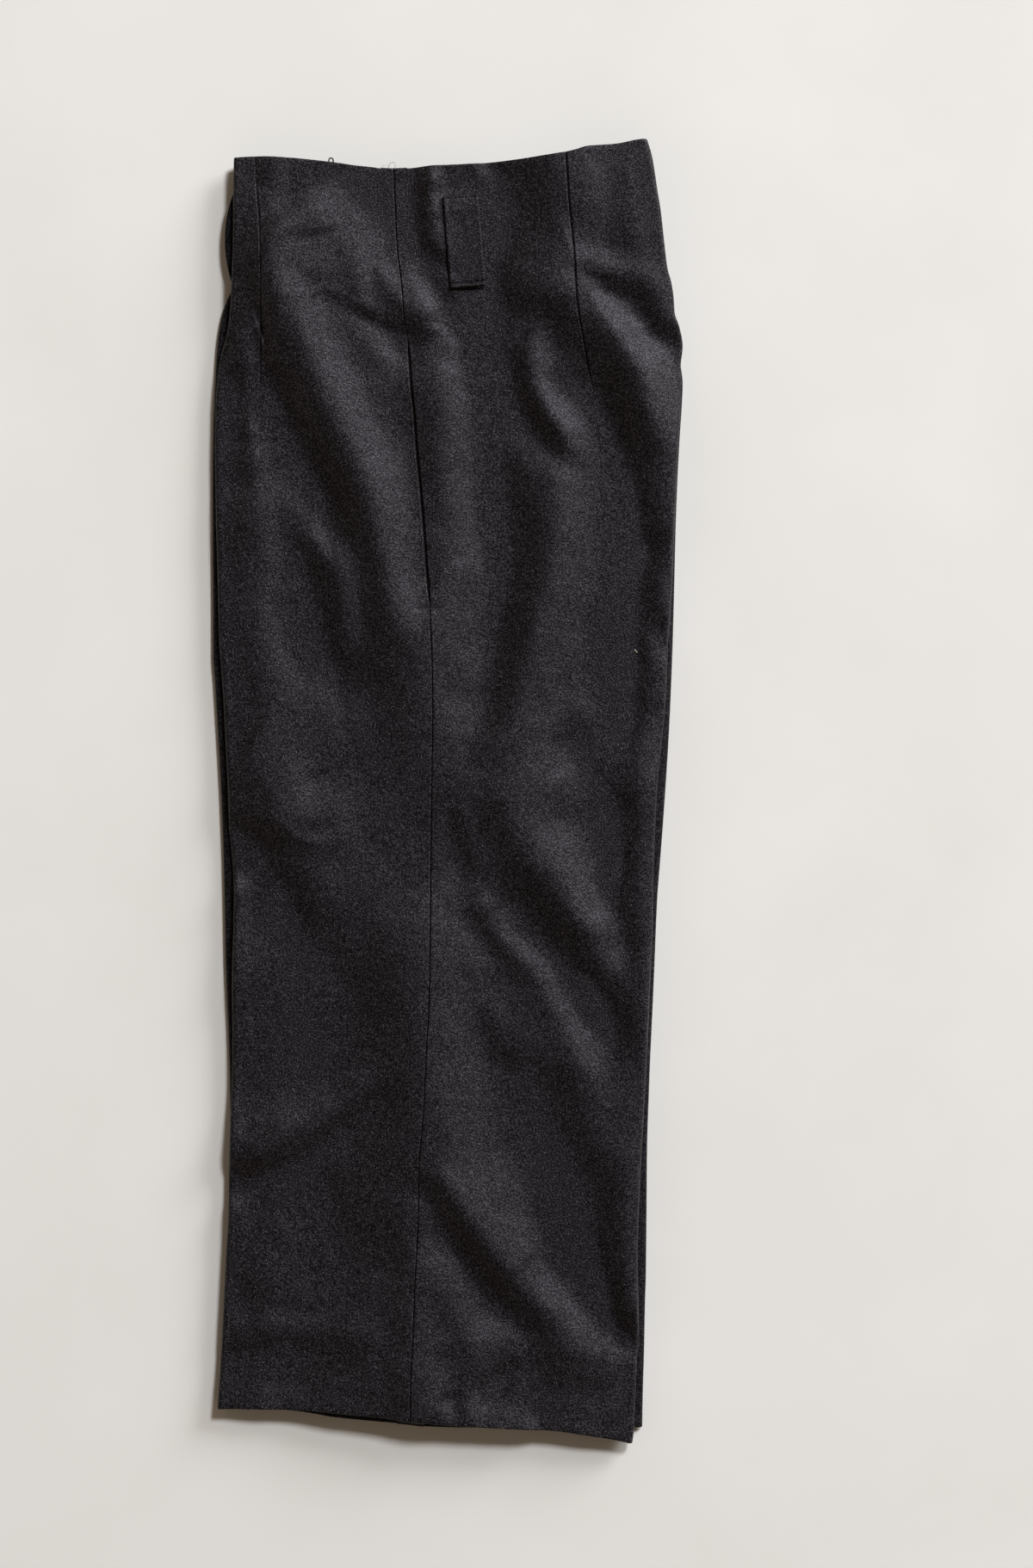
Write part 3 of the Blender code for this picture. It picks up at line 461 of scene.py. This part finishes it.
def unevenness(x, down):
    total = np.zeros(x.shape)
    for k, (length, angle, height) in enumerate(slowWaves):
        turn = math.radians(angle)
        across = (x * math.cos(turn) + down * math.sin(turn)) * 2 * math.pi / length
        bend = 0.9 * np.sin(across * 0.37 + 1.7 * k + down / (length * 1.9))  # slower than the wave
        total += height * np.sin(across + bend + 2.4 * k)
    return total


def creaseX(leg, side, down):
    return lineX(side + leg.capitalize(), down)


# How full a leg is: 0 at its creases, 1 well inside them
def fullShare(leg, x, down):
    inside = np.minimum(x - creaseX(leg, "front", down), creaseX(leg, "back", down) - x)
    return soft((inside - body["creaseRound"]) / body["creaseRise"])


# The middle of the loop's upper end, its lean in degrees, its size, and its face's height over the cloth
backLoop = {"x": 9.1, "down": 42.5, "lean": 4.8, "length": 71.0, "width": 27.6, "strap": 2.0, "rise": 3.7}
underLoop = {"rise": 2.6, "flat": 12.0, "fade": 26.0}  # how the lower leg lies over its own loop


# The four faces of the cloth: each leg's lower and upper one, as heights in mm
def lowerBottom(x, down):
    offX = np.abs(x - backLoop["x"]) - backLoop["width"] / 2
    offDown = np.abs(down - backLoop["down"] - backLoop["length"] / 2) - backLoop["length"] / 2
    away = np.hypot(np.maximum(0, offX - underLoop["flat"]), np.maximum(0, offDown - underLoop["flat"]))
    return underLoop["rise"] * (1 - soft(away / underLoop["fade"]))


def lowerTop(x, down):
    loft = curveThrough(lofts["lower"], down)
    return body["creaseHeight"] + (loft - body["creaseHeight"]) * fullShare("lower", x, down)


def upperBottom(x, down):
    inside = x - creaseX("upper", "front", down)
    shut = soft((inside - body["tuckFull"]) / (body["tuckShut"] - body["tuckFull"]))
    ended = soft((down - body["tuckEnd"]) / body["tuckFade"])
    gap = body["layerGap"] + (body["tuckGap"] - body["layerGap"]) * (1 - shut) * (1 - ended)
    return lowerTop(x, down) + gap


def upperTop(x, down):
    loft = curveThrough(lofts["upper"], down)
    atBack = curveThrough(lofts["upperBackCrease"], down)
    atCrease = np.where(x > lineX("seam", down), atBack, body["creaseHeight"])
    height = atCrease + (loft - atCrease) * fullShare("upper", x, down)
    height = height + addFolds(upperFolds, x, down) + addSewnLines(x, down)
    inside = np.minimum(x - creaseX("upper", "front", down), creaseX("upper", "back", down) - x)
    height = height + unevenness(x, down) * soft(inside / unevenFade)
    bottom = upperBottom(x, down)
    tuck = bottom - lowerTop(x, down) - body["layerGap"]
    height = height + body["topRise"] - body["tuckTaken"] * tuck
    least = body["leastHeight"]
    return bottom + np.where(height < least + 1, least + np.exp(np.minimum(0, height - least - 1)), height)


# Distances from the seam to the crease, close together at the seam, at the dart and at the crease
def columnStops(width, dart, spacing):
    seamSide = [0.0, 0.35, 0.8, 1.5, 2.6]
    dartSide = [0.4, 0.8, 1.3, 2.0, 3.2]
    creaseSide = [6.0, 4.0, 2.5, 1.2, 0.0]
    typical = float(np.mean(width))
    middle = float(np.mean(dart))
    firstCount = max(3, round((middle - seamSide[-1] - dartSide[-1]) / spacing))
    lastCount = max(3, round((typical - middle - dartSide[-1] - creaseSide[0]) / spacing))
    stops = [np.full(width.shape, s) for s in seamSide]
    start, end = seamSide[-1], dart - dartSide[-1]
    stops += [start + (end - start) * k / firstCount for k in range(1, firstCount)]
    stops += [dart - s for s in reversed(dartSide)] + [dart] + [dart + s for s in dartSide]
    start, end = dart + dartSide[-1], width - creaseSide[0]
    stops += [start + (end - start) * k / lastCount for k in range(1, lastCount)]
    stops += [width - s for s in creaseSide]
    return stops


# How fine the panels are: mm between columns, rows, and columns of the turned-in layer
panelGrid = {
    "upper": {"spacing": 2.5, "rows": 372, "inner": 9},
    "lower": {"spacing": 9.0, "rows": 190, "inner": 14},
}
dartRoom = {"seam": 25.0, "crease": 13.0}  # the least from a dart's columns to the seam and the crease
pocketMouth = {"top": 152.0, "end": 358.5, "fade": 14, "parting": 1.5}


# A pressed edge turns more squarely than a half circle
def edgeRun(angle):
    return 1 - max(0.0, math.sin(angle)) ** body["edgePower"]


# One panel: from the seam's turned edge, over its outer layer to the crease, round it, and in. A
# vertex's depth under the leg's face lays the turned edges inside.
def makePanel(side, leg, material):
    sign = {"front": -1.0, "back": 1.0}[side]
    grid = panelGrid[leg]
    legName = leg.capitalize()
    turn, hemTurn = body["seamTurn"], body["edgeTurn"]

    # rows: the share of the way down, how far past the edge the cloth is folded back, and its depth
    arc = [math.pi * k / 6 for k in range(7)]
    turned = [(hemTurn * edgeRun(a), hemTurn * (1 - math.cos(a))) for a in arc[1:]]
    rowList = [(0.0, hemTurn + body["waistAllowance"] * back, 2 * hemTurn) for back in (1.0, 0.5)]
    rowList += [(0.0, back, depth) for back, depth in reversed(turned)]
    for k in range(grid["rows"] + 1):
        share = k / grid["rows"]
        rowList.append((share, hemTurn * max(0, 1 - min(share, 1 - share) * body["edgeEase"]), 0.0))
    rowList += [(1.0, back, depth) for back, depth in turned]
    rowList += [(1.0, hemTurn + body["hemDepth"] * k / 4, 2 * hemTurn) for k in range(1, 5)]
    shares, backs, rowDepth = np.array(rowList).T
    towards = np.where(shares < 0.5, 1.0, -1.0)

    def downAt(x):
        top, hem = edgeDown("waist" + legName, x), edgeDown("hem" + legName, x)
        return top + (hem - top) * shares + towards * backs

    roughDown = downAt(np.full(len(rowList), 0.0))

    # each row's place on a line, found at its own distance down
    def rowsOn(name, times=3):
        x = lineX(name, roughDown)
        for _ in range(times):
            x = lineX(name, downAt(x))
        return x

    seam = rowsOn("seam", 1)
    parted = 0.0
    if leg == "upper":
        parted = (soft((roughDown - pocketMouth["top"]) / pocketMouth["fade"])
                  * soft((pocketMouth["end"] - roughDown) / pocketMouth["fade"]))
    seamEdge = seam + sign * (body["seamGap"] / 2 + parted * pocketMouth["parting"] / 2)
    arcMiddle = rowsOn(side + legName) - sign * body["creaseRound"]
    width = (arcMiddle - seamEdge) * sign
    dart = np.clip((rowsOn(side + "Dart") - seamEdge) * sign, dartRoom["seam"], width - dartRoom["crease"])

    columns = []  # x, which face, the depth under it, and the angle round the crease

    def addColumn(x, where, depth=0.0, angle=0.0):
        columns.append((x, where, depth, angle))

    for back in (1.0, 0.5):
        addColumn(seamEdge + sign * (turn + body["seamAllowance"] * back), "outer",
                  2.0 * turn + body["seamSink"])
    for a in reversed(arc[1:]):
        addColumn(seamEdge + sign * turn * edgeRun(a), "outer",
                  (turn + body["seamArcSink"]) * (1 - math.cos(a)))
    for stop in columnStops(width - turn, dart - turn, grid["spacing"]):
        addColumn(seamEdge + sign * (turn + stop), "outer")
    for k in range(1, 8):
        addColumn(arcMiddle, "round", 0.0, math.pi * k / 8)
    reach = np.where(roughDown >= body["crotchDown"], width,
                     np.minimum(width, curveThrough(turnedIn[side], roughDown)))
    for k in range(grid["inner"] + 1):
        addColumn(arcMiddle - sign * reach * k / grid["inner"], "inner")

    xs, where, depth, angle = zip(*columns)
    x = np.column_stack([np.broadcast_to(place, shares.shape) for place in xs])
    where, total, angle = np.array(where), rowDepth[:, None] + np.array(depth), np.array(angle)
    down = downAt(x.T).T
    outerZ, innerZ = (upperTop, upperBottom) if leg == "upper" else (lowerBottom, lowerTop)
    outer, inner = outerZ(x, down), innerZ(x, down)
    inward = -1.0 if leg == "upper" else 1.0
    shrink = 1 - total / body["creaseRound"] * body["creaseShrink"]
    half = np.abs(outer - inner) / 2
    roundX = x + sign * body["creaseRound"] * np.sin(angle) ** body["creasePower"] * shrink
    roundZ = (outer + inner) / 2 - inward * np.cos(angle) * (half - total)
    z = np.select([where == "round", where == "outer"], [roundZ, outer + inward * total],
                  inner - inward * total)
    points = np.stack([np.where(where == "round", roundX, x), middleDown - down, z], axis=2)
    return clothGrid(side + "Panel" + legName, points, (side == "back") == (leg == "upper"),
                     body["cloth"], material)


def clothRow(xs, downs, heights):
    return np.column_stack([xs, middleDown - downs, heights])


# A sheet of cloth: a grid whose vertices are moved to the points, given a thickness inwards
def clothGrid(name, points, flip, thickness, material):
    points = np.array(points)
    rows, columns = points.shape[0] - 1, points.shape[1] - 1
    sheet = bmesh.new()
    bmesh.ops.create_grid(sheet, x_segments=columns, y_segments=rows, size=0.5)
    for vert in sheet.verts:
        column, row = round((vert.co.x + 0.5) * columns), round((vert.co.y + 0.5) * rows)
        vert.co = points[row, column] * mm
    if flip:
        bmesh.ops.reverse_faces(sheet, faces=sheet.faces)
    mesh = bpy.data.meshes.new(name)
    sheet.to_mesh(mesh)
    sheet.free()
    mesh.shade_smooth()
    piece = addObject(name, mesh)
    mesh.materials.append(material)
    wall = piece.modifiers.new("cloth", "SOLIDIFY")
    wall.thickness, wall.offset = thickness * mm, -1.0
    return piece


flannel = makeFlannel("wool flannel, milled melange", flannelLook)
# the lower leg's flannel at 0.7: painted shade, for the upper leg's shadow on it
lowerLegShadeFlannel = makeFlannel("wool flannel, milled melange, lower leg, painted shade", flannelLook, 0.7)

panelCuts = {  # the flat cut's width and length, and its area, in metres
    "front": {"flat": (0.345, 1.06), "area": 0.30},
    "back": {"flat": (0.385, 1.08), "area": 0.33},
}
for leg in ("lower", "upper"):
    for side, cut in panelCuts.items():
        panel = makePanel(side, leg, flannel if leg == "upper" else lowerLegShadeFlannel)
        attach(panel, "root")
        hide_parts(side + "_" + leg + "_leg")
        print("panel made:", panel.name, len(panel.data.vertices))


# the back loops' flannel, its colour and lustre at 0.9, a little darker than the legs'
loopFlannel = makeFlannel("wool flannel, pressed strap", flannelLook, 0.9)
# the front loops' flannel at 0.45: painted shade, as they stand edge-on in the tuck's shadow
tuckShadeFlannel = makeFlannel("wool flannel, strap in the tuck, painted shade", flannelLook, 0.45)


# A place on the back loop, as x and down
def loopPlace(along, across):
    lean = math.radians(backLoop["lean"])
    return (backLoop["x"] + along * math.sin(lean) + across * math.cos(lean),
            backLoop["down"] + along * math.cos(lean) - across * math.sin(lean))


# The strap that shows, in millimetres. A ridge is (height, distance in from the edge, half width).
strapShape = {
    "sideRound": 1.1, "endRound": 1.2,
    "bead": (0.18, 1.6, 1.0),
    "upperLip": (0.30, 1.0, 0.7), "upperSeam": (0.45, 2.2, 0.45),
    "lowerLip": (0.8, 1.5, 1.1), "lowerSeam": (1.3, 3.4, 0.6),
    "sag": 0.35,
    "follow": 0.45,  # how far it takes the cloth's shape across, where the rest stays flat
}


def ridge(shape, away):
    height, place, width = shape
    return height * np.exp(-((away - place) / width) ** 2)


# How far a rounded edge has dropped at a distance in from it
def roundedEdge(radius, away):
    return radius * (1 - np.sqrt(np.clip(1 - (1 - np.clip(away / radius, 0, 1)) ** 2, 0, 1)))


# Its long edges are rounded, its ends turned under and sewn, and the lower one stands up as a lip
def makeTopLoop(material):
    length, width, shape = backLoop["length"], backLoop["width"], strapShape
    ends = [0.0, 0.25, 0.7, 1.4, 2.2, 2.7, 3.2, 4.2]
    alongs = ends + list(np.linspace(6, length - 6, 26)) + [length - e for e in reversed(ends)]
    sides = [0.0, 0.12, 0.4, 0.9, 1.6, 2.6, 4.5]
    across = np.array(sides + list(np.linspace(6.5, width - 6.5, 9)) + [width - a for a in reversed(sides)])
    edge = np.minimum(across, width - across)
    rows = []
    for along in alongs:
        fromEnd = min(along, length - along)
        xs, downs = loopPlace(along, across - width / 2)
        middle = upperTop(*(np.array([v]) for v in loopPlace(along, 0.0)))[0]
        cloth = upperTop(xs, downs) * shape["follow"] + middle * (1 - shape["follow"])
        end = "lower" if along > length / 2 else "upper"
        lip = ridge(shape[end + "Lip"], fromEnd) - ridge(shape[end + "Seam"], fromEnd)
        lip -= roundedEdge(shape["endRound"], fromEnd)
        side = ridge(shape["bead"], edge) - roundedEdge(shape["sideRound"], edge)
        sag = shape["sag"] * math.sin(math.pi * along / length)
        rows.append(clothRow(xs, downs, cloth + backLoop["rise"] + side + lip + sag))
    return clothGrid("beltLoopBackUpper", rows, True, backLoop["strap"], material)


def makeUnderLoop(material):
    across = np.linspace(-backLoop["width"] / 2, backLoop["width"] / 2, 9)
    places = [loopPlace(backLoop["length"] * k / 18, across) for k in range(19)]
    rows = [clothRow(xs, downs, np.zeros(9)) for xs, downs in places]
    return clothGrid("beltLoopBackLower", rows, False, backLoop["strap"], material)


frontLoops = {
    "down": 39.0, "length": 71.0, "width": 28.0, "strap": 1.4,
    "bow": 6.9, "bowPower": 0.8,  # how far the middle bows out; a power under 1 is fuller
    "inset": 0.5, "clear": 0.7,  # from the crease at its ends, and from the cloth above or below it
    "edge": 0.9, "droop": 0.5,  # the rounding of its free edge
}


# A front loop is sewn inside the tuck, and its free middle bows out past the crease
def makeFrontLoop(leg, material):
    offsets = np.concatenate([[0, 0.15, 0.5, 1.1, 2.0, 3.2], np.linspace(4.6, frontLoops["width"], 9)])
    rows = []
    for k in range(31):
        along = k / 30
        down = np.full(offsets.shape, frontLoops["down"] + frontLoops["length"] * along)
        crease = creaseX("upper", "front", down)
        bow = frontLoops["bow"] * math.sin(math.pi * along) ** frontLoops["bowPower"]
        xs = crease + frontLoops["inset"] - bow + offsets
        onCloth = np.maximum(xs, crease + body["creaseRound"])
        edge = np.clip((xs - xs[0]) / frontLoops["edge"], 0, 1)
        away = frontLoops["clear"] + frontLoops["droop"] * (1 - np.sqrt(1 - (1 - edge) ** 2))
        height = upperBottom(onCloth, down) - away if leg == "upper" else lowerTop(onCloth, down) + away
        rows.append(clothRow(xs, down, height))
    return clothGrid("beltLoopFront" + leg.capitalize(), rows, leg == "upper", frontLoops["strap"], material)


loops = {
    "belt_loop_back_upper": (makeTopLoop(loopFlannel), "backPanelUpper"),
    "belt_loop_back_lower": (makeUnderLoop(loopFlannel), "floor"),
    "belt_loop_front_upper": (makeFrontLoop("upper", tuckShadeFlannel), "frontPanelUpper"),
    "belt_loop_front_lower": (makeFrontLoop("lower", tuckShadeFlannel), "frontPanelLower"),
}
for node, (piece, below) in loops.items():
    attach(piece, "root")
    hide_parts(node)
print("belt loops made")


pocketing = {
    "rib": 3.49,  # mm, drawn coarser than the real ribs, which are too fine to show
    "ribDark": "#0c0c0d", "ribLight": "#17171a", "rough": 0.8,
    "above": 6, "below": 14,  # mm past the mouth's ends
    "offsets": [-11.0, -5, -2, -1, 0, 1, 2, 5, 11.0],  # mm from the seam
    "depth": 2.9,  # mm under the flannel's face
    "cloth": 0.5,  # mm
    "cut": (0.022, 0.227),  # metres, of what shows
}


# Cotton twill, piece-dyed black and pressed: smooth, with fine slanting ribs
def makeTwill():
    material, tree, shader, place = newMaterial("cotton pocketing twill", {"Roughness": pocketing["rough"]})
    # the texture's wave goes through ten radians in a unit, so this is one wave to a rib
    ribs = addNode(tree, "TexWave", {"bands_direction": "DIAGONAL"},
                   {"Scale": math.pi / 5 / (pocketing["rib"] * mm), "Distortion": 0.4}, {"Vector": place})
    dye = addNode(tree, "ValToRGB", links={"Fac": ribs.outputs["Fac"]},
                  steps=[(0.2, pocketing["ribDark"]), (0.8, pocketing["ribLight"])])
    tree.links.new(dye.outputs["Color"], shader.inputs["Base Color"])
    return material


def makeFacing(leg, material):
    rows = []
    start, end = pocketMouth["top"] - pocketing["above"], pocketMouth["end"] + pocketing["below"]
    for down in np.linspace(start, end, 60):
        seam = float(lineX("seam", np.array([down]))[0])
        xs = seam + np.array(pocketing["offsets"])
        downs, depth = np.full(xs.shape, down), pocketing["depth"]
        height = upperTop(xs, downs) - depth if leg == "upper" else lowerBottom(xs, downs) + depth
        rows.append(clothRow(xs, downs, height))
    return clothGrid("pocketFacing" + leg.capitalize(), rows, leg == "upper", pocketing["cloth"], material)


twill = makeTwill()
for leg in ("upper", "lower"):
    facing = makeFacing(leg, twill)
    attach(facing, "root")
    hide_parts("pocket_facing_" + leg)
print("pocket made")


# Spun and dyed sewing threads: their plies differ slightly in tone and shine faintly where smooth
threadLook = {"changes": 0.9, "detail": 2.0, "steps": (0.35, 0.65)}
blackThread = makeTwoTone("black polyester sewing thread", {
    **threadLook, "darker": "#0b0b0d", "lighter": "#141316", "rough": 0.6})
greyThread = makeTwoTone("grey cotton basting thread", {
    **threadLook, "darker": "#545250", "lighter": "#8d8a86", "rough": 0.7})
creamThread = makeTwoTone("cream silk thread", {
    **threadLook, "darker": "#8b8678", "lighter": "#e9e0c8", "rough": 0.5})


# Threads: tubes along lines of points in millimetres
def makeTubes(name, lines, radius, material):
    curve = bpy.data.curves.new(name, "CURVE")
    curve.dimensions = "3D"
    for line in lines:
        spline = curve.splines.new("POLY")
        spline.points.add(len(line) - 1)
        for point, place in zip(spline.points, line):
            point.co = (*(np.array(place) * mm), 1.0)
    curve.bevel_depth, curve.bevel_resolution = radius * mm, 2
    curve.use_fill_caps = True
    curve.materials.append(material)
    piece = addObject(name, curve)
    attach(piece, "root")


# A point at a height above the upper leg's face
def onTop(x, down, above):
    return [x, middleDown - down, float(upperTop(np.array([x]), np.array([down]))[0]) + above]


tackThread = {"spacing": 0.55, "lean": 0.25, "sunk": -0.15, "above": 0.28, "radius": 0.24}
tackLines = []
for tack in tacks.values():
    count = int((tack["to"] - tack["from"]) / tackThread["spacing"])
    half = tack["length"] / 2
    for k in range(count):
        x = tack["from"] + (tack["to"] - tack["from"]) * k / (count - 1)
        lean = tackThread["lean"] * (-1) ** k
        tackLines.append([onTop(x + lean, tack["down"] - half, tackThread["sunk"]),
                          onTop(x, tack["down"], tackThread["above"]),
                          onTop(x - lean, tack["down"] + half, tackThread["sunk"])])
makeTubes("pocketTacks", tackLines, tackThread["radius"], blackThread)

# Two loose ends at the waist and a fibre of lint, as (x, down, height over the ends' foot or the cloth)
threadFoot = {"down": 23.5, "sunk": 1.0}  # where the cloth's height is taken, and how far under it
looseEnds = {
    "greyThreadEnd": {"radius": 0.16, "line": [
        (-45.9, 21.4, 0.2), (-45.4, 19.0, 0.8), (-43.6, 17.0, 1.0), (-41.6, 17.4, 0.8), (-40.9, 19.6, 0.4),
        (-41.8, 21.6, 0.1)]},
    "creamThreadEnd": {"radius": 0.14, "line": [
        (-51.6, 21.3, 0.1), (-50.4, 19.4, 0.5), (-48.4, 18.9, 0.6), (-46.4, 19.6, 0.5), (-45.3, 21.2, 0.1)]},
}
lint = {"radius": 0.22, "line": [(142.6, 390.6, 0.3), (143.6, 391.6, 0.7), (144.0, 392.6, 0.6),
                                 (144.8, 393.0, 0.3)]}


def threadLine(points):
    line = smoothLine([(x, down) for x, down, _ in points], 6)
    places = np.linspace(0, 1, len(points))
    heights = np.interp(np.linspace(0, 1, len(line)), places, [p[2] for p in points])
    foot = onTop(points[0][0], threadFoot["down"], -threadFoot["sunk"])[2]
    return [(x, middleDown - down, foot + h) for (x, down), h in zip(line, heights)]


for (name, end), thread in zip(looseEnds.items(), (greyThread, creamThread)):
    makeTubes(name, [threadLine(end["line"])], end["radius"], thread)
makeTubes("lintFibre", [[onTop(*point) for point in lint["line"]]], lint["radius"], creamThread)
print("sewing made")


# Brass wire, drawn, bent and enamelled black: smooth and half glossy
eyeLook = {"darker": "#0d0d0e", "lighter": "#26262a", "rough": 0.35, "coat": 0.3,
           "changes": 0.7, "detail": 3.0, "steps": (0.3, 0.75)}
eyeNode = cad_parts["waist_eye"]
eyeNode.data.materials.clear()
eyeNode.data.materials.append(makeTwoTone("brass wire, black enamel", eyeLook))


# Uncoated off-white background paper: matt and plain
paperLook = {"darker": "#f1efea", "lighter": "#f6f4f0", "rough": 0.9,
             "changes": 0.006, "detail": 3.0, "steps": (0.3, 0.7)}
studio = {
    # where each light stands, in degrees up and round from the right, its watts, and its size in metres
    "lights": {
        "low window": {"up": 18.0, "turn": 44.0, "power": 1400.0, "size": 5.2},
        "high window": {"up": 48.0, "turn": 56.0, "power": 880.0, "size": 2.2},
    },
    "away": 12.0, "lightColour": "#f8fbff",  # from the trousers' middle to the lights
    "floor": 9.0, "floorDrop": 0.0004,  # its half size, and how far below the cloth it is
    "walls": "#ffe5c8", "ceiling": "#3a342d",  # the room, which fills the shadows
    "wallTop": 0.45, "ceilingStart": 0.85, "fill": 0.36,
    # in metres: the camera, the height of its frame at the cloth's level, that level, and where it looks
    "cameraHeight": 3.6, "viewHeight": 1.2025, "viewLevel": 0.013,
    "centre": (0.0521, 0.0063),
}


floorBuilder = bmesh.new()
bmesh.ops.create_grid(floorBuilder, x_segments=8, y_segments=8, size=studio["floor"])
bmesh.ops.translate(floorBuilder, verts=floorBuilder.verts, vec=(0, 0, -studio["floorDrop"]))
floorMesh = bpy.data.meshes.new("floor")
floorBuilder.to_mesh(floorMesh)
floorBuilder.free()
floorMesh.materials.append(makeTwoTone("background paper", paperLook))
addObject("floor", floorMesh)

for name, lamp in studio["lights"].items():
    up, turn = math.radians(lamp["up"]), math.radians(lamp["turn"])
    lightData = bpy.data.lights.new(name, "AREA")
    lightData.shape = "SQUARE"
    lightData.energy, lightData.size = lamp["power"], lamp["size"]
    lightData.color = linearColour(studio["lightColour"])[:3]
    light = addObject(name, lightData)
    light.location = Vector((math.cos(up) * math.cos(turn), math.cos(up) * math.sin(turn), math.sin(up)))
    light.location *= studio["away"]
    light.rotation_euler = (-light.location).to_track_quat("-Z", "Y").to_euler()

# The room is lit from its pale walls, and less from above
world = bpy.data.worlds.new("studio")
bpy.context.scene.world = world
world.use_nodes = True
room = world.node_tree
direction = addNode(room, "TexCoord").outputs["Generated"]
level = addNode(room, "SeparateXYZ", links={0: direction})
walls = addNode(room, "ValToRGB", links={"Fac": level.outputs["Z"]},
                steps=[(studio["wallTop"], studio["walls"]), (studio["ceilingStart"], studio["ceiling"])])
room.links.new(walls.outputs["Color"], room.nodes["Background"].inputs["Color"])
room.nodes["Background"].inputs["Strength"].default_value = studio["fill"]

cameraData = bpy.data.cameras.new("camera")
cameraData.sensor_fit = "VERTICAL"
distance = studio["cameraHeight"] - studio["viewLevel"]
cameraData.angle = 2 * math.atan(studio["viewHeight"] / 2 / distance)
camera = addObject("camera", cameraData)
camera.location = (*studio["centre"], studio["cameraHeight"])
bpy.context.scene.camera = camera
bpy.context.scene.view_settings.view_transform = "Standard"
print("studio set")
